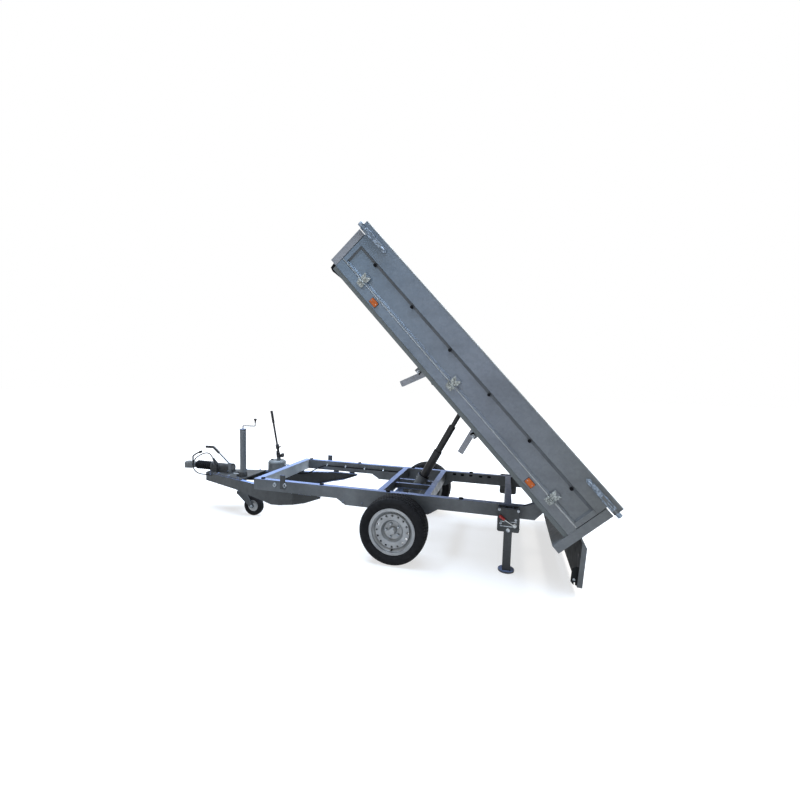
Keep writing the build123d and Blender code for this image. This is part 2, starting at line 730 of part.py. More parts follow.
CRANK_Z = JOCKEY_TUBE_TOP + RAIL_WALL
CRANK_BEND = 16.0
with BuildPart() as jockey_crank:
    round_bar(
        (
            (JOCKEY_X, JOCKEY_Y, CRANK_Z),
            (JOCKEY_X, JOCKEY_Y, CRANK_Z + CRANK_RISE),
            (JOCKEY_X - CRANK_ARM, JOCKEY_Y, CRANK_Z + CRANK_RISE),
            (JOCKEY_X - CRANK_ARM, JOCKEY_Y, CRANK_Z + CRANK_RISE + CRANK_GRIP / 2),
        ),
        (CRANK_BEND, CRANK_BEND),
        CRANK_RADIUS,
    )
keep(jockey_crank, "jockey_crank")

with BuildPart() as crank_knob:
    grip_low = CRANK_Z + CRANK_RISE + CRANK_GRIP / 2
    knob_plane = Plane(origin=(JOCKEY_X - CRANK_ARM, JOCKEY_Y, grip_low), x_dir=(1, 0, 0), z_dir=(0, -1, 0))
    with BuildSketch(knob_plane):
        with BuildLine():
            Polyline(
                (0, 0),
                (CRANK_RADIUS, 0),
                (CRANK_RADIUS + SEAT_GAP, CRANK_GRIP / 4),
                (2 * CRANK_RADIUS, CRANK_GRIP / 3),
                (2 * CRANK_RADIUS, CRANK_GRIP / 2),
                (0, CRANK_GRIP / 2),
                close=True,
            )
        make_face()
    revolve(axis=Axis((JOCKEY_X - CRANK_ARM, JOCKEY_Y, grip_low), (0, 0, 1)))
keep(crank_knob, "crank_knob")

# Jockey fork: stem, bridge and two slanted legs that trail the wheel
FORK_HALF = JOCKEY_WHEEL_WIDTH / 2 + JOCKEY_FORK_GAP
JOCKEY_HUB_X = JOCKEY_X - JOCKEY_TRAIL
with BuildPart() as jockey_fork:
    disc(
        Plane.XY,
        (JOCKEY_X, JOCKEY_Y),
        JOCKEY_STEM_RADIUS,
        (JOCKEY_FORK_TOP - JOCKEY_FORK_PLATE, JOCKEY_TUBE_BOTTOM + JOCKEY_TUBE_RADIUS * 3),
    )
    box_between(
        Plane.XY,
        (JOCKEY_X - 2 * JOCKEY_TUBE_RADIUS, JOCKEY_X + 2 * JOCKEY_STEM_RADIUS),
        (JOCKEY_Y - FORK_HALF - JOCKEY_FORK_PLATE, JOCKEY_Y + FORK_HALF + JOCKEY_FORK_PLATE),
        (JOCKEY_FORK_TOP - JOCKEY_FORK_PLATE, JOCKEY_FORK_TOP),
    )
    for start in (JOCKEY_Y + FORK_HALF + JOCKEY_FORK_PLATE, JOCKEY_Y - FORK_HALF):
        with BuildSketch(chassis_side(start)) as leg:
            with Locations((JOCKEY_HUB_X, JOCKEY_WHEEL_RADIUS)):
                Circle(2.5 * JOCKEY_AXLE_RADIUS)
            with Locations((JOCKEY_X - CUT, JOCKEY_FORK_TOP - JOCKEY_STEM_RADIUS / 2)):
                Rectangle(2 * (2 * JOCKEY_STEM_RADIUS + CUT), JOCKEY_STEM_RADIUS)
            make_hull()
        extrude(leg.sketch, amount=JOCKEY_FORK_PLATE)
    disc(
        chassis_side(JOCKEY_Y + FORK_HALF),
        (JOCKEY_HUB_X, JOCKEY_WHEEL_RADIUS),
        JOCKEY_AXLE_RADIUS,
        (0, 2 * FORK_HALF),
    )
keep(jockey_fork, "jockey_fork")

# Jockey wheel: rubber tyre on a steel hub
JOCKEY_HUB_PLANE = Plane(
    origin=(JOCKEY_HUB_X, JOCKEY_Y, JOCKEY_WHEEL_RADIUS),
    x_dir=(0, 1, 0),
    z_dir=(1, 0, 0),
)
JOCKEY_AXIS = Axis((JOCKEY_HUB_X, JOCKEY_Y, JOCKEY_WHEEL_RADIUS), (0, 1, 0))
JOCKEY_RIM_RADIUS = 56.0
JOCKEY_SHOULDER = 16.0
JOCKEY_RIM_DISH = 12.0
with BuildPart() as jockey_tyre:
    with BuildSketch(JOCKEY_HUB_PLANE):
        with Locations((0, (JOCKEY_WHEEL_RADIUS + JOCKEY_RIM_RADIUS) / 2)):
            RectangleRounded(JOCKEY_WHEEL_WIDTH, JOCKEY_WHEEL_RADIUS - JOCKEY_RIM_RADIUS, JOCKEY_SHOULDER)
    revolve(axis=JOCKEY_AXIS)
keep(jockey_tyre, "jockey_tyre")

with BuildPart() as jockey_rim:
    half = JOCKEY_WHEEL_WIDTH / 2 - JOCKEY_RIM_DISH / 2
    with BuildSketch(JOCKEY_HUB_PLANE):
        with BuildLine():
            Polyline(
                (-half, JOCKEY_AXLE_RADIUS + PIN_GAP),
                (-half, JOCKEY_HUB_RADIUS / 2),
                (-half + JOCKEY_RIM_DISH, JOCKEY_HUB_RADIUS),
                (-half + JOCKEY_RIM_DISH / 2, JOCKEY_RIM_RADIUS - SEAT_GAP),
                (half - JOCKEY_RIM_DISH / 2, JOCKEY_RIM_RADIUS - SEAT_GAP),
                (half - JOCKEY_RIM_DISH, JOCKEY_HUB_RADIUS),
                (half, JOCKEY_HUB_RADIUS / 2),
                (half, JOCKEY_AXLE_RADIUS + PIN_GAP),
                close=True,
            )
        make_face()
    revolve(axis=JOCKEY_AXIS)
keep(jockey_rim, "jockey_rim")

# Hand pump: base, domed reservoir and column
PUMP_X = RAIL_FRONT + PUMP_AHEAD
PUMP_TOP = DRAWBAR_TOP + PUMP_BASE + PUMP_HEIGHT
with BuildPart() as pump_body:
    box_between(
        Plane.XY,
        (PUMP_X - PUMP_RADIUS, PUMP_X + PUMP_RADIUS),
        (PUMP_Y - PUMP_RADIUS / 2, PUMP_Y + PUMP_RADIUS / 2),
        (DRAWBAR_TOP, DRAWBAR_TOP + PUMP_BASE),
    )
    disc(Plane.XY, (PUMP_X, PUMP_Y), PUMP_RADIUS, (DRAWBAR_TOP + PUMP_BASE, PUMP_TOP))
    fillet(pump_body.faces().sort_by(Axis.Z)[-1].edges(), PUMP_RADIUS / 3)
    disc(
        Plane.XY,
        (PUMP_X - PUMP_COLUMN_BACK, PUMP_Y),
        PUMP_COLUMN_RADIUS,
        (PUMP_TOP - PUMP_BASE, PUMP_TOP + PUMP_COLUMN_HEIGHT),
    )
keep(pump_body, "pump_body")

LEVER_FOOT = Vector(PUMP_X - PUMP_COLUMN_BACK, PUMP_Y, PUMP_TOP + PUMP_COLUMN_HEIGHT)
LEVER_TIP = LEVER_FOOT + Vector(PUMP_LEVER_LEAN, 0, PUMP_LEVER_RISE)
LEVER_SOCKET = 70.0
with BuildPart() as pump_lever:
    disc(
        Plane.XY,
        (LEVER_FOOT.X, LEVER_FOOT.Y),
        PUMP_COLUMN_RADIUS - HOSE_RADIUS,
        (LEVER_FOOT.Z, LEVER_FOOT.Z + PUMP_COLUMN_RADIUS),
    )
    lever_way = (LEVER_TIP - LEVER_FOOT).normalized()
    with BuildSketch(Plane(origin=LEVER_FOOT + lever_way * PUMP_COLUMN_RADIUS / 2, z_dir=lever_way)):
        Circle(PUMP_LEVER_RADIUS)
    extrude(amount=(LEVER_TIP - LEVER_FOOT).length - PUMP_COLUMN_RADIUS / 2)
    with BuildSketch(Plane(origin=LEVER_FOOT + lever_way * PUMP_COLUMN_RADIUS / 2, z_dir=lever_way)):
        Circle(PUMP_LEVER_RADIUS + CRANK_RADIUS / 2)
    extrude(amount=LEVER_SOCKET)
keep(pump_lever, "pump_lever")

# Hydraulic hose, clipped along the inside of the right rail
HOSE_Z = RAIL_BOTTOM + RAIL_HEIGHT / 2
HOSE_LOW = RAIL_BOTTOM - 4 * HOSE_RADIUS
HOSE_Y = -RAIL_INNER + 2 * HOSE_RADIUS
HOSE_END_Y = -140.0
HOSE_EXIT_Z = PUMP_TOP - PUMP_RADIUS / 2
HOSE_DROP = 45.0
CROSS_FRONT_FACE = AXLE_X + CYLINDER_CROSS_FRONT + CROSS_WIDTH / 2
hose_points = (
    (PUMP_X - PUMP_RADIUS - SEAT_GAP, PUMP_Y, HOSE_EXIT_Z),
    (RAIL_FRONT + HOSE_DROP, PUMP_Y, HOSE_EXIT_Z),
    (RAIL_FRONT + HOSE_DROP, PUMP_Y, HOSE_LOW),
    (RAIL_FRONT - 2 * FRONT_CROSS_WIDTH, PUMP_Y, HOSE_LOW),
    (RAIL_FRONT - 4 * FRONT_CROSS_WIDTH, HOSE_Y, HOSE_Z),
    (CROSS_FRONT_FACE + HOSE_DROP, HOSE_Y, HOSE_Z),
    (CROSS_FRONT_FACE + HOSE_DROP, HOSE_END_Y, HOSE_Z),
    (CROSS_FRONT_FACE + SEAT_GAP, HOSE_END_Y, HOSE_Z),
)
hose_radii = (28.0, 40.0, 120.0, 120.0, 30.0, 30.0)
with BuildPart() as pump_hose:
    round_bar(hose_points, hose_radii, HOSE_RADIUS)
keep(pump_hose, "pump_hose")

# Folded channels under the rails and the axle beam below them
BEAM_X = AXLE_X + AXLE_BEAM_REACH
PLATE_BOTTOM = RAIL_BOTTOM - AXLE_PLATE_DEPTH
BEAM_Z = PLATE_BOTTOM - AXLE_BEAM_SIZE / 2
ARM_INNER = RAIL_OUTER + ARM_GAP
DRUM_INNER = ARM_INNER + ARM_THICKNESS + BACK_PLATE + DRUM_GAP
WHEEL_Y = DRUM_INNER + WHEEL_SET
STUB_END = WHEEL_Y + STUB_PAST
with BuildPart() as axle_plates:
    front = AXLE_X + AXLE_PLATE_FRONT
    rear = AXLE_X + AXLE_PLATE_REAR
    for _, side in SIDES:
        low, high = mirrored((RAIL_INNER, RAIL_OUTER), side)
        with BuildSketch(chassis_side(high)) as outline:
            with BuildLine():
                Polyline(
                    (front, RAIL_BOTTOM),
                    (front - AXLE_PLATE_SLOPE, PLATE_BOTTOM),
                    (rear + AXLE_PLATE_SLOPE, PLATE_BOTTOM),
                    (rear, RAIL_BOTTOM),
                    close=True,
                )
            make_face()
        extrude(outline.sketch, amount=high - low)
        box_between(
            Plane.XY,
            (rear - CUT, front + CUT),
            (low + AXLE_PLATE_WALL, high - AXLE_PLATE_WALL),
            (PLATE_BOTTOM + AXLE_PLATE_WALL, RAIL_BOTTOM + CUT),
            mode=Mode.SUBTRACT,
        )
keep(axle_plates, "axle_plates")

with BuildPart() as axle_beam:
    tube_bar(
        chassis_side(ARM_INNER),
        (BEAM_X, BEAM_Z),
        (AXLE_BEAM_SIZE, AXLE_BEAM_SIZE),
        AXLE_BEAM_WALL,
        2 * ARM_INNER,
    )
keep(axle_beam, "axle_beam")

# Trailing arms with stub axles
with BuildPart() as axle_arms:
    for _, side in SIDES:
        low, high = mirrored((ARM_INNER, ARM_INNER + ARM_THICKNESS), side)
        with BuildSketch(chassis_side(high)) as arm:
            with Locations((BEAM_X, BEAM_Z)):
                Circle(ARM_END_RADIUS)
            with Locations((AXLE_X, TYRE_RADIUS)):
                Circle(ARM_END_RADIUS)
            make_hull()
        extrude(arm.sketch, amount=high - low)
        low, high = mirrored((ARM_INNER, STUB_END), side)
        disc(chassis_side(high), (AXLE_X, TYRE_RADIUS), STUB_RADIUS, (0, high - low))
        low, high = mirrored((ARM_INNER + ARM_THICKNESS, ARM_INNER + ARM_THICKNESS + BACK_PLATE), side)
        disc(chassis_side(high), (AXLE_X, TYRE_RADIUS), DRUM_RADIUS + BACK_PLATE, (0, high - low))
keep(axle_arms, "axle_arms")


def wheel_plane(side):
    """Plane through the axle line: x outboard from the middle of the trailer, y away from the axle."""
    return Plane(origin=(AXLE_X, 0, TYRE_RADIUS), x_dir=(0, side, 0), z_dir=(side, 0, 0))


WHEEL_AXIS = Axis((AXLE_X, 0, TYRE_RADIUS), (0, 1, 0))
TREAD_HALF = 84.0
SHOULDER_DROP = 7.0
BULGE_DROP = 45.0
CARCASS = 11.0


def build_tyre(side):
    half = TYRE_WIDTH / 2
    bead = RIM_WIDTH / 2 - RIM_SHEET - SEAT_GAP
    seat = RIM_RADIUS + SEAT_GAP
    lip = RIM_FLANGE_RADIUS + SEAT_GAP
    inner_crown = TYRE_RADIUS - SHOULDER_DROP - CARCASS
    with BuildPart() as tyre:
        with BuildSketch(wheel_plane(side)):
            with BuildLine():
                for flank in (-1, 1):
                    ThreePointArc(
                        (WHEEL_Y + flank * TREAD_HALF, TYRE_RADIUS - SHOULDER_DROP),
                        (WHEEL_Y + flank * half, TYRE_RADIUS - BULGE_DROP),
                        (WHEEL_Y + flank * bead, lip),
                    )
                    Polyline(
                        (WHEEL_Y + flank * bead, lip),
                        (WHEEL_Y + flank * bead, seat),
                        (WHEEL_Y + flank * (bead - CARCASS), seat),
                        (WHEEL_Y + flank * (bead - CARCASS), lip + CARCASS),
                    )
                    ThreePointArc(
                        (WHEEL_Y + flank * (bead - CARCASS), lip + CARCASS),
                        (WHEEL_Y + flank * (half - CARCASS), TYRE_RADIUS - BULGE_DROP),
                        (WHEEL_Y + flank * (TREAD_HALF - CARCASS), inner_crown),
                    )
                Line(
                    (WHEEL_Y - TREAD_HALF + CARCASS, inner_crown),
                    (WHEEL_Y + TREAD_HALF - CARCASS, inner_crown),
                )
                ThreePointArc(
                    (WHEEL_Y - TREAD_HALF, TYRE_RADIUS - SHOULDER_DROP),
                    (WHEEL_Y, TYRE_RADIUS),
                    (WHEEL_Y + TREAD_HALF, TYRE_RADIUS - SHOULDER_DROP),
                )
            make_face()
        revolve(axis=WHEEL_AXIS)
    return tyre


RIM_OUTER_Y = WHEEL_Y + RIM_WIDTH / 2
DISC_FACE = 18.0  # outer face of the disc inside the rim's outer edge
DISC_DISH = 34.0
DISC_SHEET = 6.0
DISC_SHOULDER = 134.0
HUB_HOLE_RADIUS = 30.0


def build_rim(side):
    half = RIM_WIDTH / 2
    with BuildPart() as rim:
        with BuildSketch(wheel_plane(side)):
            with BuildLine():
                Polyline(
                    (WHEEL_Y - half, RIM_FLANGE_RADIUS),
                    (WHEEL_Y - half, RIM_RADIUS - RIM_SHEET),
                    (WHEEL_Y - half / 2, RIM_RADIUS - RIM_SHEET),
                    (WHEEL_Y - half / 4, RIM_WELL_RADIUS - RIM_SHEET),
                    (WHEEL_Y + half / 2, RIM_WELL_RADIUS - RIM_SHEET),
                    (WHEEL_Y + half - DISC_FACE, RIM_RADIUS - RIM_SHEET),
                    (WHEEL_Y + half, RIM_RADIUS - RIM_SHEET),
                    (WHEEL_Y + half, RIM_FLANGE_RADIUS),
                    (WHEEL_Y + half - RIM_SHEET, RIM_FLANGE_RADIUS),
                    (WHEEL_Y + half - RIM_SHEET, RIM_RADIUS),
                    (WHEEL_Y + half - DISC_FACE, RIM_RADIUS),
                    (WHEEL_Y + half / 2, RIM_WELL_RADIUS),
                    (WHEEL_Y - half / 4, RIM_WELL_RADIUS),
                    (WHEEL_Y - half / 2, RIM_RADIUS),
                    (WHEEL_Y - half + RIM_SHEET, RIM_RADIUS),
                    (WHEEL_Y - half + RIM_SHEET, RIM_FLANGE_RADIUS),
                    close=True,
                )
            make_face()
        revolve(axis=WHEEL_AXIS)
        face = RIM_OUTER_Y - DISC_FACE
        with BuildSketch(wheel_plane(side)):
            with BuildLine():
                Polyline(
                    (face - DISC_DISH, HUB_HOLE_RADIUS),
                    (face - DISC_DISH, DISC_HUB_RADIUS),
                    (face - DISC_SHEET, DISC_HUB_RADIUS + DISC_FACE),
                    (face - DISC_SHEET, DISC_SHOULDER),
                    (face - DISC_DISH, RIM_WELL_RADIUS - RIM_SHEET / 2),
                    (face - DISC_DISH * 2 / 3, RIM_WELL_RADIUS - RIM_SHEET / 2),
                    (face, DISC_SHOULDER),
                    (face, DISC_HUB_RADIUS + DISC_FACE),
                    (face - DISC_DISH + DISC_SHEET, DISC_HUB_RADIUS),
                    (face - DISC_DISH + DISC_SHEET, HUB_HOLE_RADIUS),
                    close=True,
                )
            make_face()
        revolve(axis=WHEEL_AXIS)
        _, drill_from = mirrored((face - DISC_DISH - CUT, face + CUT), side)
        with BuildSketch(chassis_side(drill_from)) as holes:
            with Locations((AXLE_X, TYRE_RADIUS)):
                with PolarLocations(RIM_HOLE_CIRCLE, RIM_HOLES):
                    Circle(RIM_HOLE_RADIUS)
        extrude(holes.sketch, amount=DISC_DISH + 2 * CUT, mode=Mode.SUBTRACT)
    return rim


HUB_FACE = RIM_OUTER_Y - DISC_FACE - DISC_DISH
DRUM_OUTER = DRUM_INNER + DRUM_WIDTH
BORE_RADIUS = STUB_RADIUS + PIN_GAP
CAP_RADIUS = HUB_HOLE_RADIUS - SEAT_GAP
CAP_END = RIM_OUTER_Y - SIDE_LIP_STEP


def build_hub(side):
    with BuildPart() as hub:
        with BuildSketch(wheel_plane(side)):
            with BuildLine():
                Polyline(
                    (DRUM_INNER + 2 * DRUM_WALL, BORE_RADIUS),
                    (DRUM_INNER + 2 * DRUM_WALL, HUB_RADIUS - DRUM_WALL),
                    (DRUM_OUTER - DRUM_WALL, HUB_RADIUS - DRUM_WALL),
                    (DRUM_OUTER - DRUM_WALL, DRUM_RADIUS - DRUM_WALL),
                    (DRUM_INNER, DRUM_RADIUS - DRUM_WALL),
                    (DRUM_INNER, DRUM_RADIUS),
                    (DRUM_OUTER, DRUM_RADIUS),
                    (DRUM_OUTER + DRUM_WALL, HUB_RADIUS),
                    (HUB_FACE - DRUM_WALL, HUB_RADIUS),
                    (HUB_FACE - DRUM_WALL, DISC_HUB_RADIUS),
                    (HUB_FACE, DISC_HUB_RADIUS),
                    (HUB_FACE, CAP_RADIUS),
                    (RIM_OUTER_Y - HUB_CAP_LENGTH, CAP_RADIUS),
                    (CAP_END, CAP_RADIUS / 2),
                    (CAP_END, 0),
                    (STUB_END + CUT, 0),
                    (STUB_END + CUT, BORE_RADIUS),
                    close=True,
                )
            make_face()
        revolve(axis=WHEEL_AXIS)
    return hub


for name, side in SIDES:
    keep(build_tyre(side), f"tyre_{name}")
    keep(build_rim(side), f"rim_{name}")
    keep(build_hub(side), f"hub_{name}")

# Prop stands: plate and pin on the rail, leg that swings forward
STAND_X = AXLE_X + STAND_REACH
TUBE_INNER = RAIL_OUTER + STAND_PLATE_THICKNESS + KNUCKLE_GAP
TUBE_OUTER = TUBE_INNER + STAND_TUBE
PLATE_CORNER = 22.0
with BuildPart() as stand_plates:
    for _, side in SIDES:
        low, high = mirrored((RAIL_OUTER, RAIL_OUTER + STAND_PLATE_THICKNESS), side)
        with BuildSketch(chassis_side(high)) as plate:
            with Locations((STAND_X, STAND_TOP - STAND_PLATE_HEIGHT / 2)):
                RectangleRounded(STAND_PLATE_WIDTH, STAND_PLATE_HEIGHT, PLATE_CORNER)
        extrude(plate.sketch, amount=high - low)
        low, high = mirrored((RAIL_OUTER, TUBE_OUTER + SIDE_LIP_STEP), side)
        disc(chassis_side(high), (STAND_X, STAND_PIVOT_Z), STAND_PIN_RADIUS, (0, high - low))
keep(stand_plates, "stand_plates")

for name, side in SIDES:
    with BuildPart() as stand_leg:
        middle = side * (TUBE_INNER + STAND_TUBE / 2)
        tube_bar(
            Plane.XY.offset(STAND_FOOT_THICKNESS),
            (STAND_X, middle),
            (STAND_TUBE, STAND_TUBE),
            STAND_WALL,
            STAND_TOP - STAND_FOOT_THICKNESS,
        )
        low, high = mirrored((TUBE_INNER, TUBE_OUTER), side)
        disc(
            chassis_side(high + CUT),
            (STAND_X, STAND_PIVOT_Z),
            STAND_PIN_RADIUS + PIN_GAP,
            (0, high - low + 2 * CUT),
            mode=Mode.SUBTRACT,
        )
        disc(Plane.XY, (STAND_X, middle), STAND_FOOT_RADIUS, (0, STAND_FOOT_THICKNESS))
        lever_y = side * (TUBE_OUTER + STAND_LEVER_RADIUS / 2)
        half = STAND_PLATE_WIDTH / 2
        round_bar(
            (
                (STAND_X + half, lever_y, STAND_PIVOT_Z + half),
                (STAND_X, lever_y, STAND_PIVOT_Z + half * 3 / 4),
                (STAND_X - half, lever_y, STAND_PIVOT_Z + half / 6),
            ),
            (HANDLE_BEND,),
            STAND_LEVER_RADIUS,
        )
    keep(stand_leg, f"stand_leg_{name}")

# Cradle that carries the cylinder's trunnions between two crossmembers
TRUNNION_X = AXLE_X + TRUNNION_REACH
CRADLE_REAR = AXLE_X + CYLINDER_CROSS_REAR + CROSS_WIDTH / 2
CRADLE_FRONT = AXLE_X + CYLINDER_CROSS_FRONT - CROSS_WIDTH / 2
with BuildPart() as cylinder_cradle:
    for _, side in SIDES:
        low, high = mirrored((CRADLE_INNER, CRADLE_INNER + CRADLE_FLANGE), side)
        box_between(
            Plane.XY,
            (CRADLE_REAR, CRADLE_FRONT),
            (low, high),
            (TRUNNION_Z - CRADLE_HEIGHT / 2, TRUNNION_Z + CRADLE_HEIGHT / 2),
        )
        low, high = mirrored((CRADLE_INNER + CRADLE_WALL, CRADLE_INNER + CRADLE_FLANGE + CUT), side)
        box_between(
            Plane.XY,
            (CRADLE_REAR - CUT, CRADLE_FRONT + CUT),
            (low, high),
            (
                TRUNNION_Z - CRADLE_HEIGHT / 2 + CRADLE_WALL,
                TRUNNION_Z + CRADLE_HEIGHT / 2 - CRADLE_WALL,
            ),
            mode=Mode.SUBTRACT,
        )
        low, high = mirrored((CRADLE_INNER - CUT, CRADLE_INNER + CRADLE_FLANGE), side)
        disc(
            chassis_side(high),
            (TRUNNION_X, TRUNNION_Z),
            TRUNNION_RADIUS + PIN_GAP,
            (0, high - low),
            mode=Mode.SUBTRACT,
        )
keep(cylinder_cradle, "cylinder_cradle")

# Telescopic cylinder, drawn out along the line from trunnion to eye
trunnion = Vector(TRUNNION_X, 0, TRUNNION_Z)
eye = BED.from_local_coords(Vector(EYE_S, 0, EYE_T))
eye_lowered = Vector(PIVOT_X + EYE_S, 0, PIVOT_Z + EYE_T)
OPEN_LENGTH = (eye - trunnion).length
CLOSED_LENGTH = (eye_lowered - trunnion).length
STROKE = (OPEN_LENGTH - CLOSED_LENGTH) / len(STAGE_RADII)
RAM = Plane(origin=trunnion, x_dir=(0, 1, 0), z_dir=eye - trunnion)
STAGE_LENGTH = BARREL_ABOVE + BARREL_BELOW - BARREL_FLOOR - STAGE_END_GAP

with BuildPart() as barrel:
    disc(RAM, (0, 0), BARREL_RADIUS, (-BARREL_BELOW, BARREL_ABOVE))
    disc(RAM, (0, 0), BARREL_RADIUS + RAIL_WALL, (BARREL_ABOVE - HOUSING_COLLAR, BARREL_ABOVE))
    disc(
        RAM,
        (0, 0),
        STAGE_RADII[0] + PIN_GAP,
        (BARREL_FLOOR - BARREL_BELOW, BARREL_ABOVE + CUT),
        mode=Mode.SUBTRACT,
    )
    for _, side in SIDES:
        low, high = mirrored((BARREL_RADIUS - RAIL_WALL, CRADLE_INNER + CRADLE_WALL + RAIL_WALL), side)
        disc(chassis_side(high), (TRUNNION_X, TRUNNION_Z), TRUNNION_RADIUS, (0, high - low))
keep(barrel, "cylinder_barrel")

for index, radius in enumerate(STAGE_RADII):
    foot = BARREL_FLOOR - BARREL_BELOW + STAGE_END_GAP + (index + 1) * STROKE + index * STAGE_PROUD
    head = foot + STAGE_LENGTH + STAGE_PROUD
    solid = index == len(STAGE_RADII) - 1
    with BuildPart() as stage:
        disc(RAM, (0, 0), radius, (foot, OPEN_LENGTH if solid else head))
        if not solid:
            bore = STAGE_RADII[index + 1] + PIN_GAP
            floor = foot + STAGE_PROUD - STAGE_END_GAP
            disc(RAM, (0, 0), bore, (floor, head + CUT), mode=Mode.SUBTRACT)
        else:
            disc(chassis_side(EYE_WIDTH / 2), (eye.X, eye.Z), EYE_RADIUS, (0, EYE_WIDTH))
    keep(stage, f"cylinder_stage_{index + 1}")

# Bed floor sheet
with BuildPart() as bed_floor:
    box_between(
        BED,
        (BED_REAR + POST_WIDTH_REAR, BED_FRONT - WALL),
        (-BED_HALF + WALL, BED_HALF - WALL),
        (FLOOR_BOTTOM, FLOOR_TOP),
    )
keep(bed_floor, "bed_floor")

# Side rails: rolled section with a step and a lower lip, and the fixed hinge leaves on it
HINGE_Y = BED_HALF + SIDE_HINGE_PROUD
with BuildPart() as side_rails:
    for _, side in SIDES:
        sheet = SIDE_RAIL_SHEET
        outer = side * BED_HALF
        lip = side * (BED_HALF - SIDE_LIP_STEP)
        inner = side * (BED_HALF - WALL)
        with BuildSketch(bed_section(BED_REAR + POST_WIDTH_REAR)) as section:
            with BuildLine():
                Polyline(
                    (inner, FLOOR_TOP),
                    (outer, FLOOR_TOP),
                    (outer, SIDE_RAIL_BOTTOM),
                    (lip, SIDE_RAIL_BOTTOM - sheet),
                    (lip, SIDE_LIP_BOTTOM),
                    (inner, SIDE_LIP_BOTTOM),
                    (inner, SIDE_LIP_BOTTOM + sheet),
                    (lip - side * sheet, SIDE_LIP_BOTTOM + sheet),
                    (lip - side * sheet, SIDE_RAIL_BOTTOM),
                    (outer - side * sheet, SIDE_RAIL_BOTTOM + sheet),
                    (outer - side * sheet, FLOOR_TOP - sheet),
                    (inner, FLOOR_TOP - sheet),
                    close=True,
                )
            make_face()
        extrude(section.sketch, amount=BED_LENGTH - POST_WIDTH_REAR - POST_WIDTH_FRONT)
        for place in SIDE_HINGE_PLACES:
            half = SIDE_HINGE_WIDTH / 2
            inside = KNUCKLE_LENGTH / 2 + KNUCKLE_GAP
            box_between(
                BED,
                (place - half, place + half),
                mirrored((BED_HALF, BED_HALF + LEAF_THICKNESS), side),
                (SIDE_HINGE_T - SIDE_HINGE_LEAF, SIDE_HINGE_T - KNUCKLE_RADIUS),
            )
            for start, end in ((place - half, place - inside), (place + inside, place + half)):
                disc(BED_ACROSS, (side * HINGE_Y, SIDE_HINGE_T), KNUCKLE_RADIUS, (start, end))
                box_between(
                    BED,
                    (start, end),
                    mirrored((BED_HALF, HINGE_Y), side),
                    (SIDE_HINGE_T - KNUCKLE_RADIUS, SIDE_HINGE_T),
                )
            disc(BED_ACROSS, (side * HINGE_Y, SIDE_HINGE_T), KNUCKLE_PIN_RADIUS, (place - half, place + half))
keep(side_rails, "side_rails")

# Rear frame: deep beam between the rear posts, with the ears and pins of the tailgate
with BuildPart() as rear_frame:
    tube_bar(
        bed_side(BED_HALF - WALL),
        (BED_REAR + POST_WIDTH_REAR / 2, (REAR_POST_BOTTOM + FLOOR_TOP) / 2),
        (POST_WIDTH_REAR, FLOOR_TOP - REAR_POST_BOTTOM),
        REAR_BEAM_WALL,
        2 * (BED_HALF - WALL),
    )
    for _, side in SIDES:
        across = mirrored((BED_HALF - WALL, BED_HALF), side)
        box_between(BED, (BED_REAR, BED_REAR + POST_WIDTH_REAR), across, (REAR_POST_BOTTOM, POST_TOP))
    for place in GATE_EAR_PLACES:
        gap = GATE_EAR_THICKNESS / 2 + KNUCKLE_GAP
        for start in (place + gap + GATE_EAR_RADIUS, place - gap):
            with BuildSketch(bed_side(start)) as ear:
                with Locations((GATE_HINGE_S, GATE_HINGE_T)):
                    Circle(GATE_EAR_RADIUS)
                with Locations((BED_REAR + REAR_BEAM_WALL / 2, GATE_HINGE_T - GATE_EAR_RADIUS)):
                    Rectangle(REAR_BEAM_WALL, 2 * GATE_EAR_RADIUS)
                make_hull()
            extrude(ear.sketch, amount=GATE_EAR_RADIUS)
        disc(
            bed_side(place + gap + GATE_EAR_RADIUS),
            (GATE_HINGE_S, GATE_HINGE_T),
            GATE_PIN_RADIUS,
            (0, 2 * (gap + GATE_EAR_RADIUS)),
        )
keep(rear_frame, "rear_frame")

# Front frame: beam between the front posts
with BuildPart() as front_frame:
    tube_bar(
        bed_side(BED_HALF - WALL),
        (BED_FRONT - POST_WIDTH_FRONT / 2, (SIDE_RAIL_BOTTOM + FLOOR_BOTTOM) / 2),
        (POST_WIDTH_FRONT, FLOOR_BOTTOM - SIDE_RAIL_BOTTOM),
        REAR_BEAM_WALL,
        2 * (BED_HALF - WALL),
    )
    for _, side in SIDES:
        across = mirrored((BED_HALF - WALL, BED_HALF), side)
        box_between(BED, (BED_FRONT - POST_WIDTH_FRONT, BED_FRONT), across, (SIDE_RAIL_BOTTOM, POST_TOP))
keep(front_frame, "front_frame")

HEADBOARD_RIM = 34.0
with BuildPart() as headboard:
    back = BED_FRONT - WALL
    field = BED_FRONT - FIELD_DEPTH
    with BuildSketch(bed_side(BED_HALF - WALL)):
        with BuildLine():
            Polyline(
                (back, FLOOR_BOTTOM),
                (BED_FRONT, FLOOR_BOTTOM),
                (BED_FRONT, FLOOR_TOP + HEADBOARD_RIM),
                (field, FLOOR_TOP + HEADBOARD_RIM + FIELD_DEPTH),
                (field, POST_TOP - HEADBOARD_RIM - FIELD_DEPTH),
                (BED_FRONT, POST_TOP - HEADBOARD_RIM),
                (BED_FRONT, POST_TOP),
                (back, POST_TOP),
                close=True,
            )
        make_face()
        with Locations(((back + field) / 2, (FLOOR_BOTTOM + POST_TOP) / 2)):
            Rectangle(
                field - back - 2 * SIDE_SHEET,
                POST_TOP - FLOOR_BOTTOM - 2 * SIDE_SHEET,
                mode=Mode.SUBTRACT,
            )
    extrude(amount=2 * (BED_HALF - WALL))
keep(headboard, "headboard")

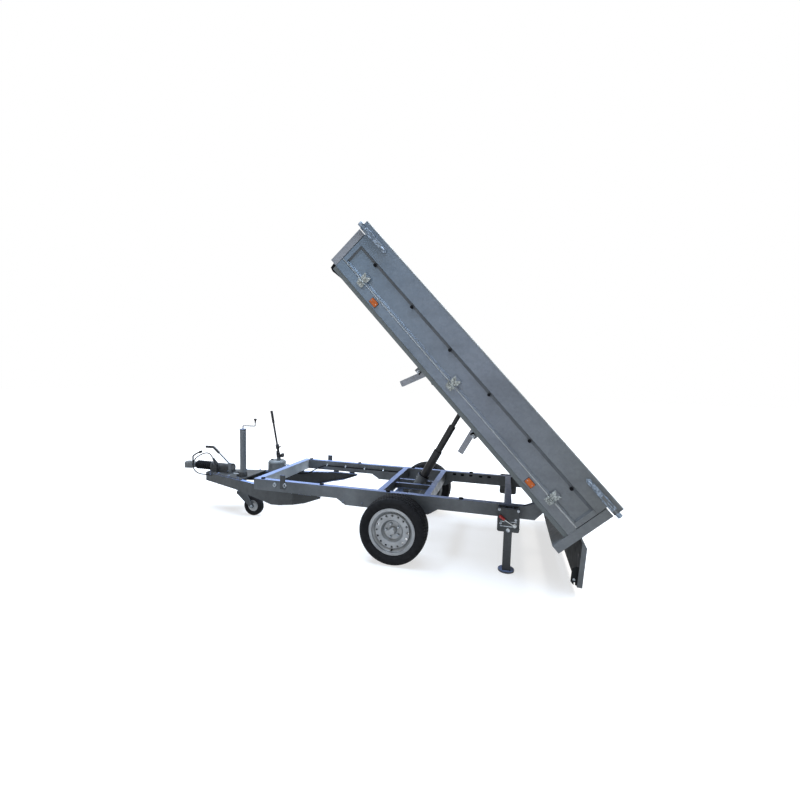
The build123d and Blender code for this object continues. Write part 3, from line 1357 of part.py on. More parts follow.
# Cross bearers under the floor
with BuildPart() as cross_bearers:
    for place in BEARER_PLACES:
        tube_bar(
            bed_side(BED_HALF - WALL),
            (place, (STRINGER_TOP + FLOOR_BOTTOM) / 2),
            (BEARER_WIDTH, FLOOR_BOTTOM - STRINGER_TOP),
            BEARER_SHEET,
            2 * (BED_HALF - WALL),
        )
keep(cross_bearers, "cross_bearers")

# Stringers with hinge lugs
LUG_Y = (RAIL_INNER + CHEEK_THICKNESS + RAIL_OUTER - CHEEK_THICKNESS) / 2
with BuildPart() as stringers:
    for _, side in SIDES:
        tube_bar(
            bed_section(STRINGER_REAR),
            (side * (STRINGER_INNER + STRINGER_WIDTH / 2), STRINGER_BOTTOM + STRINGER_HEIGHT / 2),
            (STRINGER_WIDTH, STRINGER_HEIGHT),
            STRINGER_WALL,
            BED_FRONT - STRINGER_REAR,
        )
        low, high = mirrored((LUG_Y - LUG_THICKNESS / 2, LUG_Y + LUG_THICKNESS / 2), side)
        with BuildSketch(bed_side(high)) as lug:
            Circle(LUG_RADIUS)
            with Locations((STRINGER_REAR + STRINGER_HEIGHT / 2, STRINGER_BOTTOM + STRINGER_HEIGHT / 2)):
                Rectangle(STRINGER_HEIGHT, STRINGER_HEIGHT - 2 * STRINGER_WALL)
            make_hull()
            Circle(HINGE_PIN_RADIUS + PIN_GAP, mode=Mode.SUBTRACT)
        extrude(lug.sketch, amount=high - low)
keep(stringers, "stringers")

# Ears for the cylinder's eye
EAR_GAP = 4.0
EAR_THICKNESS = 10.0
EAR_LENGTH = 70.0
with BuildPart() as cylinder_ears:
    for _, side in SIDES:
        inner = EYE_WIDTH / 2 + EAR_GAP
        low, high = mirrored((inner, inner + EAR_THICKNESS), side)
        with BuildSketch(bed_side(high)) as ear:
            with Locations((EYE_S, EYE_T)):
                Circle(EYE_RADIUS)
            with Locations((EYE_S, FLOOR_BOTTOM - EAR_THICKNESS / 2)):
                Rectangle(EAR_LENGTH, EAR_THICKNESS)
            make_hull()
        extrude(ear.sketch, amount=high - low)
        low, high = mirrored((inner + EAR_THICKNESS, inner + EAR_THICKNESS + EYE_PIN_HEAD), side)
        disc(bed_side(high), (EYE_S, EYE_T), EYE_PIN_RADIUS, (0, high - low))
keep(cylinder_ears, "cylinder_ears")

# Mudguard stays: splayed channels under the bed on both sides of each wheel
STAYS = (
    # root along the bed, tip along the bed, height of the tip off the hinge
    (1290.0, 1366.0, -150.0),
    (765.0, 690.0, -145.0),
)
with BuildPart() as mudguard_stays:
    for _, side in SIDES:
        for root, tip, tip_t in STAYS:
            lean = atan2(tip - root, STRINGER_TOP - tip_t)
            head = (root - STAY_DEPTH * tan(lean), STRINGER_TOP + STAY_DEPTH)
            middle = ((head[0] + tip) / 2, (head[1] + tip_t) / 2)
            length = hypot(tip - head[0], head[1] - tip_t)
            low, high = mirrored((STAY_Y, STAY_Y + STAY_DEPTH), side)
            with BuildSketch(bed_side(high)) as face:
                with Locations(Location(middle + (0,), (0, 0, 1), degrees(lean))):
                    RectangleRounded(STAY_WIDTH, length, SIDE_LIP_STEP)
            extrude(face.sketch, amount=high - low)
            low, high = mirrored((STAY_Y - CUT, STAY_Y + STAY_DEPTH - STAY_SHEET), side)
            with BuildSketch(bed_side(high)) as hollow:
                with Locations(Location(middle + (0,), (0, 0, 1), degrees(lean))):
                    Rectangle(STAY_WIDTH - 2 * STAY_SHEET, length - 2 * SIDE_LIP_STEP)
            extrude(hollow.sketch, amount=high - low, mode=Mode.SUBTRACT)
            low, high = mirrored((STAY_Y - CUT, STAY_Y + STAY_DEPTH + CUT), side)
            box_between(
                BED,
                (root - 2 * STAY_WIDTH, root + 2 * STAY_WIDTH),
                (low, high),
                (STRINGER_TOP, STRINGER_TOP + STAY_WIDTH),
                mode=Mode.SUBTRACT,
            )
keep(mudguard_stays, "mudguard_stays")

# Amber side markers
with BuildPart() as side_markers:
    for _, side in SIDES:
        low, high = mirrored((BED_HALF, BED_HALF + MARKER_DEPTH), side)
        for place in MARKER_PLACES:
            with BuildSketch(bed_side(high)) as lens:
                with Locations((place, MARKER_T)):
                    RectangleRounded(MARKER_LENGTH, MARKER_HEIGHT, SIDE_LIP_STEP)
            extrude(lens.sketch, amount=high - low)
keep(side_markers, "side_markers")

# Side walls with their hinge straps and over centre latches
SIDE_REAR = BED_REAR + POST_WIDTH_REAR + SIDE_GAP
SIDE_FRONT = BED_FRONT - POST_WIDTH_FRONT - SIDE_GAP
BAND_BOTTOM = POST_TOP + SIDE_GAP
LATCH_T = 412.0
LATCH_LENGTH = 255.0
LATCH_HEIGHT = 40.0
LATCH_DEPTH = 20.0
LATCH_HOOK = 24.0
for name, side in SIDES:
    with BuildPart() as dropside:
        outer = side * BED_HALF
        inner = side * (BED_HALF - WALL)
        field = side * (BED_HALF - FIELD_DEPTH)
        sheet = side * SIDE_SHEET
        # Section of the lower panel: flat inside, pressed field outside, hollow between the skins
        with BuildSketch(bed_section(SIDE_REAR)) as panel:
            with BuildLine():
                Polyline(
                    (inner, SIDE_BOTTOM),
                    (outer, SIDE_BOTTOM),
                    (outer, FIELD_BOTTOM),
                    (field, FIELD_BOTTOM + FIELD_DEPTH),
                    (field, FIELD_TOP),
                    (outer, FIELD_TOP + FIELD_DEPTH / 2),
                    (outer, BAND_BOTTOM),
                    (inner, BAND_BOTTOM),
                    close=True,
                )
            make_face()
            with BuildLine():
                Polyline(
                    (inner + sheet, SIDE_BOTTOM + SIDE_SHEET),
                    (field - sheet, SIDE_BOTTOM + SIDE_SHEET),
                    (field - sheet, FIELD_TOP + FIELD_DEPTH),
                    (outer - sheet, FIELD_TOP + 2 * FIELD_DEPTH),
                    (outer - sheet, BAND_BOTTOM - SIDE_SHEET),
                    (inner + sheet, BAND_BOTTOM - SIDE_SHEET),
                    close=True,
                )
            make_face(mode=Mode.SUBTRACT)
        extrude(panel.sketch, amount=SIDE_FRONT - SIDE_REAR)
        # Band that laps over both posts
        with BuildSketch(bed_section(BED_REAR)) as band:
            with Locations(((inner + outer) / 2, (BAND_BOTTOM + SIDE_TOP) / 2)):
                Rectangle(WALL, SIDE_TOP - BAND_BOTTOM)
                Rectangle(WALL - 2 * SIDE_SHEET, SIDE_TOP - BAND_BOTTOM - 2 * SIDE_SHEET, mode=Mode.SUBTRACT)
        extrude(band.sketch, amount=BED_LENGTH)
        for place in SIDE_HINGE_PLACES:
            half = SIDE_HINGE_WIDTH / 2
            box_between(
                BED,
                (place - half, place + half),
                mirrored((BED_HALF - FIELD_DEPTH, BED_HALF + LEAF_THICKNESS), side),
                (SIDE_HINGE_T + KNUCKLE_RADIUS, SIDE_HINGE_T + STRAP_LEAF),
            )
            middle = (place - KNUCKLE_LENGTH / 2, place + KNUCKLE_LENGTH / 2)
            disc(BED_ACROSS, (side * HINGE_Y, SIDE_HINGE_T), KNUCKLE_RADIUS, middle)
            box_between(
                BED,
                middle,
                mirrored((BED_HALF, HINGE_Y), side),
                (SIDE_HINGE_T, SIDE_HINGE_T + KNUCKLE_RADIUS),
            )
            disc(
                BED_ACROSS,
                (side * HINGE_Y, SIDE_HINGE_T),
                KNUCKLE_PIN_RADIUS + PIN_GAP,
                (place - half, place + half),
                mode=Mode.SUBTRACT,
            )
        for end, way in ((BED_REAR, 1), (BED_FRONT, -1)):
            box_between(
                BED,
                tuple(sorted((end + way * LATCH_HOOK, end + way * LATCH_LENGTH))),
                mirrored((BED_HALF, BED_HALF + LEAF_THICKNESS), side),
                (LATCH_T - LATCH_HEIGHT / 2, LATCH_T + LATCH_HEIGHT / 2),
            )
            box_between(
                BED,
                tuple(sorted((end - way * LATCH_HOOK, end + way * (LATCH_LENGTH - LATCH_HOOK)))),
                mirrored((BED_HALF + LEAF_THICKNESS, BED_HALF + LATCH_DEPTH), side),
                (LATCH_T - LATCH_HEIGHT / 4, LATCH_T + LATCH_HEIGHT / 4),
            )
    keep(dropside, f"dropside_{name}")

    # Rubber knobs along the step of the panel
    with BuildPart() as knobs:
        low, high = mirrored((BED_HALF - FIELD_DEPTH, BED_HALF - FIELD_DEPTH + KNOB_LENGTH), side)
        with BuildSketch(bed_side(high)) as faces:
            with Locations([(place, KNOB_T) for place in KNOB_PLACES]):
                Circle(KNOB_RADIUS)
        extrude(faces.sketch, amount=high - low)
    keep(knobs, f"side_knobs_{name}")

# Tailgate, made closed on its hinge line and then let hang by its own weight
def gate_outline(thickness_in, low_in, top_in):
    """Outline of the gate beside its hinge line: closed, with a slanted foot."""
    outer = -GATE_OUTER + thickness_in
    inner = GATE_THICKNESS - GATE_OUTER - thickness_in
    low = GATE_LOW + low_in
    slant = inner - outer
    return ((outer, low), (inner, low + slant), (inner, GATE_LENGTH - top_in), (outer, GATE_LENGTH - top_in))


closed_side = Plane.XZ
with BuildPart() as closed_gate:
    with BuildSketch(closed_side.offset(-GATE_HALF)) as outline:
        with BuildLine():
            Polyline(*gate_outline(0, 0, 0), close=True)
        make_face()
    extrude(outline.sketch, amount=2 * GATE_HALF)
    box_between(
        Plane.XY,
        (GATE_SHEET - GATE_OUTER, GATE_THICKNESS + CUT),
        (-GATE_HALF + FIELD_MARGIN, GATE_HALF - FIELD_MARGIN),
        (GATE_LOW + GATE_THICKNESS + FIELD_MARGIN, GATE_LENGTH - FIELD_MARGIN),
        mode=Mode.SUBTRACT,
    )
    for place in GATE_EAR_PLACES:
        with BuildSketch(closed_side.offset(-place - GATE_EAR_THICKNESS / 2)) as ear:
            Circle(GATE_EAR_RADIUS)
            with Locations((GATE_EAR_RADIUS - GATE_OUTER, GATE_LOW + GATE_EAR_RADIUS)):
                Rectangle(2 * GATE_EAR_RADIUS, 2 * GATE_EAR_RADIUS)
            make_hull()
            Circle(GATE_PIN_RADIUS + PIN_GAP, mode=Mode.SUBTRACT)
        extrude(ear.sketch, amount=GATE_EAR_THICKNESS)
    for _, side in SIDES:
        low, high = mirrored((GATE_HALF - CLAW_INSET - CLAW_THICKNESS, GATE_HALF - CLAW_INSET), side)
        with BuildSketch(closed_side.offset(-high)) as claw:
            with Locations((-GATE_OUTER - CLAW_DEPTH / 2, GATE_LENGTH - CLAW_LENGTH / 2)):
                Rectangle(CLAW_DEPTH, CLAW_LENGTH)
            chamfer(claw.vertices().sort_by(Axis.X)[0:2], CLAW_DEPTH / 2)
            with Locations((-GATE_OUTER - CLAW_DEPTH / 3, GATE_LENGTH)):
                Rectangle(CLAW_DEPTH / 4, CLAW_DEPTH, mode=Mode.SUBTRACT)
            with Locations((-GATE_OUTER - CLAW_DEPTH / 2, GATE_LENGTH - CLAW_DEPTH)):
                Circle(GATE_PIN_RADIUS, mode=Mode.SUBTRACT)
        extrude(claw.sketch, amount=high - low)

gate_centre = closed_gate.part.center(CenterOf.MASS)
GATE_HANG = -90 - degrees(atan2(gate_centre.Z, gate_centre.X))
hinge_line = BED.from_local_coords(Vector(GATE_HINGE_S, 0, GATE_HINGE_T))
with BuildPart() as tailgate:
    add(closed_gate.part.rotate(Axis.Y, -GATE_HANG).translate(hinge_line))
keep(tailgate, "tailgate")

# Electric cable: a loose loop at the coupling, from a gland under the bridge plate to its plug
CABLE_RADIUS = 4.5
CABLE_ROUTE = (
    # distance ahead of the axle, distance to the left, height
    (2172.0, 88.0, 362.0),
    (2225.0, 88.0, 362.0),
    (2280.0, 85.0, 360.0),
    (2335.0, 82.0, 368.0),
    (2376.0, 81.0, 394.0),
    (2394.0, 80.0, 436.0),
    (2388.0, 79.0, 482.0),
    (2358.0, 76.0, 524.0),
    (2312.0, 71.0, 558.0),
    (2262.0, 66.0, 582.0),
    (2214.0, 62.0, 588.0),
    (2182.0, 60.0, 569.0),
    (2156.0, 60.0, 534.3333),
)
cable_points = [Vector(AXLE_X + reach, y, z) for reach, y, z in CABLE_ROUTE]
runs = [second - first for first, second in zip(cable_points, cable_points[1:])]
cable_radii = []
for before, after in zip(runs, runs[1:]):
    turn = radians(before.get_angle(after))
    cable_radii.append(0.45 * min(before.length, after.length) / tan(turn / 2))
with BuildPart() as electric_cable:
    round_bar(cable_points, cable_radii, CABLE_RADIUS)
keep(electric_cable, "electric_cable")

PLUG_RADIUS = 17.0
PLUG_END_RADIUS = 11.0
cable_end = cable_points[-1]
PLUG_LENGTH = 80.0
plug_foot = cable_end + runs[-1].normalized() * PLUG_LENGTH
with BuildPart() as cable_plug:
    with BuildSketch(Plane(origin=plug_foot, z_dir=cable_end - plug_foot)):
        Circle(PLUG_RADIUS)
    with BuildSketch(Plane(origin=cable_end, z_dir=cable_end - plug_foot)):
        Circle(PLUG_END_RADIUS)
    loft()
    disc(
        Plane.XY,
        (plug_foot.X, cable_end.Y),
        PLUG_RADIUS - HOSE_RADIUS,
        (BRIDGE_TOP, plug_foot.Z + PLUG_RADIUS / 2),
    )
keep(cable_plug, "cable_plug")

print("cable radii", [round(radius) for radius in cable_radii])
print("stroke", round(STROKE, 2), "open", round(OPEN_LENGTH, 2), "closed", round(CLOSED_LENGTH, 2))
print("eye", eye, "trunnion", trunnion)
open_lean = degrees(atan2(trunnion.X - eye.X, eye.Z - trunnion.Z))
closed_lean = degrees(atan2(trunnion.X - eye_lowered.X, eye_lowered.Z - trunnion.Z))
print("lean open", round(open_lean, 3), "closed", round(closed_lean, 3))
print("gate hinge", hinge_line, "hang", round(GATE_HANG, 3))
print("pivot", PIVOT_X, PIVOT_Z)
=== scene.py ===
import json
import math
import random

import bmesh
import bpy
from mathutils import Matrix, Vector


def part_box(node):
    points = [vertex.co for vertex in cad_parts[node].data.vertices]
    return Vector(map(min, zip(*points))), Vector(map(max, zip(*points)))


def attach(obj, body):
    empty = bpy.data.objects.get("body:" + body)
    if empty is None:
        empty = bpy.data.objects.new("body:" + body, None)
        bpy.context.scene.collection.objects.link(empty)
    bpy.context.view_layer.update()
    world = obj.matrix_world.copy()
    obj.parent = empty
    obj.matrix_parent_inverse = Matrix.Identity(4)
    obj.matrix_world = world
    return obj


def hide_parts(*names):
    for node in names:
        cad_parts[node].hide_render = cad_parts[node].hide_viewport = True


# Tipper trailer, dressed for the render. Metres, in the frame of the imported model.
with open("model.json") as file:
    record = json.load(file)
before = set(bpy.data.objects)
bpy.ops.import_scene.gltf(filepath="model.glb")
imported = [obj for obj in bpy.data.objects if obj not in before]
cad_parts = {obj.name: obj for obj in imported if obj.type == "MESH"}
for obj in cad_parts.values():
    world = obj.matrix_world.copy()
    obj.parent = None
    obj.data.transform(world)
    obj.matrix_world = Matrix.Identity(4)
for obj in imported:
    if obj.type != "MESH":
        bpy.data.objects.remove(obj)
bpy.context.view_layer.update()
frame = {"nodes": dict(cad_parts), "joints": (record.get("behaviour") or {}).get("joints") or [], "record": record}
random.seed(7)

LEFT_RIGHT = (("left", 1), ("right", -1))
SIDES = (1, -1)
X, Y, Z = Vector((1, 0, 0)), Vector((0, 1, 0)), Vector((0, 0, 1))


# Places worked out from the frame
def middle_of(node):
    low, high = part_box(node)
    return (low + high) / 2


AXLE = middle_of("tyre_left")
TYRE_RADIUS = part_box("tyre_left")[1].z - AXLE.z
TRACK_HALF = AXLE.y
RAIL_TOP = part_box("rear_crossmember")[1].z
RAIL_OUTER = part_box("rail_left")[1].y
RAIL_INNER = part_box("rail_left")[0].y
RAIL_HEIGHT = 0.098
RAIL_BOTTOM = RAIL_TOP - RAIL_HEIGHT

joints = {joint["name"]: joint for joint in frame["joints"]}
PIVOT = Vector(joints["bed_tilt"]["pos_m"])
TILT = -math.radians(min(joints["bed_tilt"]["range_deg"]))
BED_ALONG = Vector((math.cos(TILT), 0, math.sin(TILT)))
BED_OFF = Vector((-math.sin(TILT), 0, math.cos(TILT)))
BED_REAR = -0.222
BED_FRONT = 2.366
BED_HALF = 0.780


def on_bed(s, y, t):
    """Place on the raised bed: along the floor, to the left, off the floor's hinge line."""
    return PIVOT + BED_ALONG * s + Y * y + BED_OFF * t


def ahead(reach, y=0.0, z=0.0):
    """Place at a distance ahead of the axle."""
    return Vector((AXLE.x + reach, y, z))


# Shader nodes
def wire(tree, node, inputs):
    """Set each input of a node to a value, or link it to an output."""
    for socket, source in inputs.items():
        if isinstance(source, bpy.types.NodeSocket):
            tree.links.new(source, node.inputs[socket])
        else:
            node.inputs[socket].default_value = source


def add_node(tree, kind, inputs=None, operation=None):
    node = tree.nodes.new(kind)
    if operation:
        node.operation = operation
    wire(tree, node, inputs or {})
    return node


class Finish:
    """A material put together from shader nodes."""

    def __init__(self, name, metallic=0.0, roughness=0.5, specular=0.5):
        self.material = bpy.data.materials.new(name)
        self.material.use_nodes = True
        self.tree = self.material.node_tree
        self.dress({"Metallic": metallic, "Roughness": roughness, "Specular IOR Level": specular})
        self.texture = self.node("ShaderNodeTexCoord")
        self.place = self.texture.outputs["Object"]

    def node(self, kind, inputs=None, operation=None):
        return add_node(self.tree, kind, inputs, operation)

    def dress(self, inputs):
        wire(self.tree, self.tree.nodes["Principled BSDF"], inputs)

    def turned(self, angle, stretch=(1.0, 1.0, 1.0)):
        """Object coordinates turned about Y, then stretched."""
        inputs = {"Vector": self.place, "Rotation": (0, angle, 0), "Scale": stretch}
        return self.node("ShaderNodeMapping", inputs).outputs["Vector"]

    def noise(self, scale, detail=4.0, where=None):
        inputs = {"Vector": where or self.place, "Scale": scale, "Detail": detail}
        return self.node("ShaderNodeTexNoise", inputs).outputs["Fac"]

    def cells(self, scale):
        """One random grey for each cell."""
        node = self.node("ShaderNodeTexVoronoi", {"Vector": self.place, "Scale": scale})
        return self.node("ShaderNodeSeparateColor", {"Color": node.outputs["Color"]}).outputs["Red"]

    def span(self, value, low, high, from_low=0.3, from_high=0.7):
        """Value carried from one range to another and held at its ends."""
        inputs = {"Value": value, "From Min": from_low, "From Max": from_high, "To Min": low, "To Max": high}
        return self.node("ShaderNodeMapRange", inputs).outputs["Result"]

    def ramp(self, value, stops):
        node = self.node("ShaderNodeValToRGB", {"Fac": value})
        elements = node.color_ramp.elements
        while len(elements) < len(stops):
            elements.new(0.5)
        for element, (place, colour) in zip(elements, stops):
            element.position = place
            element.color = (*colour, 1)
        return node.outputs["Color"]

    def mix(self, factor, first, second, blend="MIX"):
        """Blend of two colours; the factor and the colours are values or outputs."""
        node = self.tree.nodes.new("ShaderNodeMix")
        node.data_type = "RGBA"
        node.blend_type = blend
        colours = [(*source, 1) if isinstance(source, tuple) else source for source in (first, second)]
        wire(self.tree, node, {"Factor": factor, 6: colours[0], 7: colours[1]})
        return node.outputs[2]

    def along(self, direction, coordinates=None):
        """Distance of the place, or of other coordinates, along a direction."""
        inputs = {0: coordinates or self.place, 1: direction}
        return self.node("ShaderNodeVectorMath", inputs, "DOT_PRODUCT").outputs["Value"]

    def painted_sky_mask(self):
        """How far the surface faces up on the part at rest, from 0 to 1: the mask of the painted sky light on top
        faces.
        """
        return self.span(self.along(Z, self.texture.outputs["Normal"]), 0.0, 1.0, 0.75, 0.95)

    def bump(self, height, strength, distance):
        inputs = {"Height": height, "Strength": strength, "Distance": distance}
        self.dress({"Normal": self.node("ShaderNodeBump", inputs).outputs["Normal"]})


# Painted sky light along the bed's sheet from its rear end to its front end, and painted shade on the lip under
# its side rails
BED_SKY_PAINT_REAR = -1.90
BED_SKY_PAINT_FRONT = -0.20
BED_SKY_PAINT = ((0.0, (0.60, 0.60, 0.58)), (0.45, (0.80, 0.84, 0.94)), (1.0, (0.62, 0.77, 0.93)))
LIP_T = 0.083
LIP_HEIGHT = PIVOT.dot(BED_OFF) + LIP_T
LIP_BLEND = 0.001


def galvanised(name, dark, light, metallic, spangle, streak, turn=0.0, top=None, painted_sky_ramp=None, lip_shade=None):
    """Zinc coat: crystal spangle, soft clouds and runs, painted sky light on the top faces, painted sky light
    along the bed, painted shade on the rails' lip.
    """
    finish = Finish(name, metallic=metallic, specular=0.3)
    base = finish.ramp(finish.noise(3.2, 5.0), ((0.32, dark), (0.68, light)))
    shimmer = finish.ramp(finish.cells(spangle), ((0.0, (0.80, 0.81, 0.83)), (1.0, (1.0, 1.0, 1.0))))
    tinted = finish.mix(0.55, base, shimmer, "MULTIPLY")
    runs = finish.noise(6.0, 6.0, finish.turned(turn, streak))
    stain = finish.span(runs, 0.0, 0.34, 0.52, 0.78)
    zinc = finish.mix(stain, tinted, tuple(0.55 * part for part in dark))
    # Painted sky light along the bed: greyer and darker at the rear end, lighter and bluer from the middle to the
    # front.
    if painted_sky_ramp:
        reach = finish.span(finish.along(X), 0.0, 1.0, BED_SKY_PAINT_REAR, BED_SKY_PAINT_FRONT)
        zinc = finish.mix(1.0, zinc, finish.ramp(reach, painted_sky_ramp), "MULTIPLY")
    # Painted shade on the lip under the side rails: below the lip's height the colour turns darker.
    if lip_shade:
        height = finish.along(BED_OFF)
        lip_shade_mask = finish.span(height, 1.0, 0.0, LIP_HEIGHT - LIP_BLEND, LIP_HEIGHT + LIP_BLEND)
        zinc = finish.mix(lip_shade_mask, zinc, lip_shade)
    # Painted sky light: faces that point up take the lighter, bluer top colour.
    if top:
        zinc = finish.mix(finish.painted_sky_mask(), zinc, top)
    finish.dress({"Base Color": zinc, "Roughness": finish.span(finish.noise(26.0, 6.0), 0.36, 0.58)})
    finish.bump(finish.noise(90.0, 5.0), 0.10, 0.0006)
    return finish.material


def plain(name, dark, light, scale, metallic, low, high, specular=0.5, grain=160.0):
    """Paint, plastic or rubber with mottled colour and a fine grain."""
    finish = Finish(name, metallic=metallic, specular=specular)
    finish.dress({
        "Base Color": finish.ramp(finish.noise(scale, 6.0), ((0.34, dark), (0.66, light))),
        "Roughness": finish.span(finish.noise(scale * 2.0), low, high),
    })
    finish.bump(finish.noise(grain), 0.25, 0.0004)
    return finish.material


def tyre_finish():
    """Rubber with patches of road dust."""
    finish = Finish("tyre_rubber", specular=0.12)
    dust = finish.span(finish.noise(9.0, 6.0), 0.0, 0.3, 0.5, 0.8)
    tones = ((0.3, (0.006, 0.006, 0.007)), (0.7, (0.013, 0.013, 0.014)))
    rubber = finish.ramp(finish.noise(40.0, 5.0), tones)
    finish.dress({
        "Base Color": finish.mix(dust, rubber, (0.026, 0.025, 0.024)),
        "Roughness": finish.span(finish.noise(30.0), 0.62, 0.85),
    })
    finish.bump(finish.noise(320.0), 0.3, 0.0005)
    return finish.material


def lens_finish():
    """Amber lens with moulded ribs."""
    finish = Finish("amber_lens", roughness=0.35, specular=0.3)
    tones = ((0.3, (0.42, 0.078, 0.005)), (0.7, (0.56, 0.118, 0.010)))
    finish.dress({"Base Color": finish.ramp(finish.noise(60.0, 3.0), tones)})
    ribs = finish.node("ShaderNodeTexWave", {"Vector": finish.turned(TILT), "Scale": 70.0})
    finish.bump(ribs.outputs["Fac"], 0.5, 0.0006)
    return finish.material


# The top colour of the frame coats is painted sky light on faces that point up.
FRAME_ZINC = {"spangle": 55.0, "streak": (1.0, 1.0, 0.25), "top": (0.165, 0.215, 0.370)}
SHEET_ZINC = {"spangle": 70.0, "streak": (0.2, 1.0, 1.6), "turn": TILT}
# The bed's sheet coats carry the painted sky light along the bed.
BED_ZINC = {**SHEET_ZINC, "painted_sky_ramp": BED_SKY_PAINT}
# The lip colour is painted shade on the side rails' lower lip.
RAIL_ZINC = {**BED_ZINC, "lip_shade": (0.110, 0.123, 0.124)}
ZINC_COATS = (
    # name, dark tone, light tone, metallic, kind of coat
    ("galvanised_frame", (0.076, 0.082, 0.086), (0.142, 0.151, 0.157), 0.12, FRAME_ZINC),
    # Painted light: a lighter copy of the frame zinc.
    ("pale_zinc", (0.300, 0.318, 0.322), (0.500, 0.515, 0.515), 0.12, FRAME_ZINC),
    # Painted shade: darker copies of the frame zinc.
    ("dark_zinc", (0.030, 0.033, 0.034), (0.062, 0.066, 0.068), 0.05, FRAME_ZINC),
    ("deep_zinc", (0.016, 0.018, 0.018), (0.038, 0.041, 0.041), 0.0, FRAME_ZINC),
    # Painted sky light: a lighter, bluer copy of the sheet zinc.
    ("lilac_sheet", (0.220, 0.228, 0.245), (0.285, 0.293, 0.315), 0.12, SHEET_ZINC),
    ("galvanised_sheet", (0.205, 0.215, 0.222), (0.250, 0.262, 0.270), 0.12, BED_ZINC),
    # The rail sheet carries painted shade on its lip and painted sky light along the bed.
    ("rail_sheet", (0.215, 0.225, 0.230), (0.265, 0.275, 0.282), 0.12, RAIL_ZINC),
)
PAINTS = (
    # name, dark tone, light tone, scale of the mottle, metallic, least and most roughness, specular, grain
    ("shaded_gate", (0.012, 0.014, 0.015), (0.026, 0.029, 0.031), 9.0, 0.0, 0.6, 0.8, 0.1),
    ("shaded_sheet", (0.088, 0.095, 0.101), (0.118, 0.126, 0.133), 12.0, 0.0, 0.5, 0.7, 0.2),
    # Painted highlight: a lighter copy of the sheet zinc, for the rolled edges.
    ("highlit_sheet", (0.27, 0.28, 0.275), (0.37, 0.38, 0.37), 12.0, 0.0, 0.5, 0.7, 0.3),
    ("bright_zinc", (0.14, 0.16, 0.18), (0.48, 0.51, 0.54), 60.0, 0.6, 0.32, 0.5),
    ("hinge_zinc", (0.060, 0.068, 0.066), (0.400, 0.425, 0.405), 85.0, 0.3, 0.35, 0.5),
    ("latch_zinc", (0.085, 0.108, 0.132), (0.340, 0.405, 0.490), 60.0, 0.25, 0.35, 0.5),
    ("cast_grey", (0.060, 0.063, 0.062), (0.110, 0.114, 0.112), 14.0, 0.2, 0.45, 0.65, 0.5, 220.0),
    ("dark_cast", (0.022, 0.023, 0.024), (0.050, 0.051, 0.052), 16.0, 0.0, 0.45, 0.65, 0.3),
    ("pump_grey", (0.080, 0.090, 0.094), (0.135, 0.147, 0.152), 16.0, 0.1, 0.42, 0.62),
    ("chrome", (0.30, 0.31, 0.31), (0.42, 0.43, 0.43), 20.0, 0.85, 0.2, 0.35),
    ("black_rubber", (0.005, 0.005, 0.006), (0.012, 0.012, 0.013), 30.0, 0.0, 0.65, 0.85, 0.05),
    ("silver_paint", (0.225, 0.232, 0.236), (0.350, 0.358, 0.362), 12.0, 0.35, 0.35, 0.55),
    ("black_steel", (0.006, 0.006, 0.007), (0.016, 0.016, 0.018), 18.0, 0.0, 0.32, 0.55, 0.3),
    ("black_plastic", (0.007, 0.007, 0.008), (0.016, 0.016, 0.017), 26.0, 0.0, 0.4, 0.6, 0.25),
    ("grey_plastic", (0.009, 0.010, 0.011), (0.020, 0.021, 0.023), 26.0, 0.0, 0.5, 0.7, 0.2),
    ("red_plastic", (0.28, 0.012, 0.012), (0.42, 0.025, 0.020), 24.0, 0.0, 0.35, 0.5),
)
FINISHES = {name: galvanised(name, *tones, **kind) for name, *tones, kind in ZINC_COATS}
FINISHES.update((row[0], plain(*row)) for row in PAINTS)
FINISHES["tyre_rubber"] = tyre_finish()
FINISHES["amber_plastic"] = lens_finish()

# Slot looked up for a piece whose finish isn't one of the part's slots; the piece isn't given it
SLOTS = {
    "dark_zinc": "galvanised_frame",
    "bright_zinc": "galvanised_frame",
    "hinge_zinc": "galvanised_frame",
    "latch_zinc": "galvanised_frame",
    "chrome": "galvanised_frame",
    "shaded_sheet": "galvanised_sheet",
    "highlit_sheet": "galvanised_sheet",
    "red_plastic": "black_plastic",
}


# Finish of each carried-over node, and the width of its rounded edges
CAD_FINISHES = {entry["node"]: entry["material_slot"] for entry in frame["record"]["subparts"]}

EDGE_ROUNDING = 0.0012
EDGE_ANGLE = math.radians(42)
SHARP_ANGLE = math.radians(35)


def soften(obj, width=EDGE_ROUNDING):
    bevel = obj.modifiers.new("edges", "BEVEL")
    bevel.width = width
    bevel.segments = 2
    bevel.limit_method = "ANGLE"
    bevel.angle_limit = EDGE_ANGLE
    bevel.harden_normals = False


# Mesh tools
def basis(way):
    """Rotation that carries Z onto a direction."""
    return way.normalized().to_track_quat("Z", "Y").to_matrix().to_4x4()


def add_bar(bm, start, end, radius, sides=20, end_radius=None):
    """Round or many-sided bar between two places."""
    way = end - start
    place = Matrix.Translation((start + end) / 2) @ basis(way)
    far = radius if end_radius is None else end_radius
    bmesh.ops.create_cone(
        bm, cap_ends=True, segments=sides, radius1=radius, radius2=far, depth=way.length, matrix=place
    )


def add_block(bm, centre, along, off, size, rounding=0.0):
    """Block with its edges along a direction, off it and across both."""
    along, off = along.normalized(), off.normalized()
    across = off.cross(along)
    turn = Matrix((along, across, off)).transposed().to_4x4()
    scale = Matrix.Diagonal((*size, 1))
    made = bmesh.ops.create_cube(bm, size=1, matrix=Matrix.Translation(centre) @ turn @ scale)
    if rounding:
        edges = list({edge for vert in made["verts"] for edge in vert.link_edges})
        bmesh.ops.bevel(bm, geom=edges, offset=rounding, segments=2, affect="EDGES", profile=0.5)


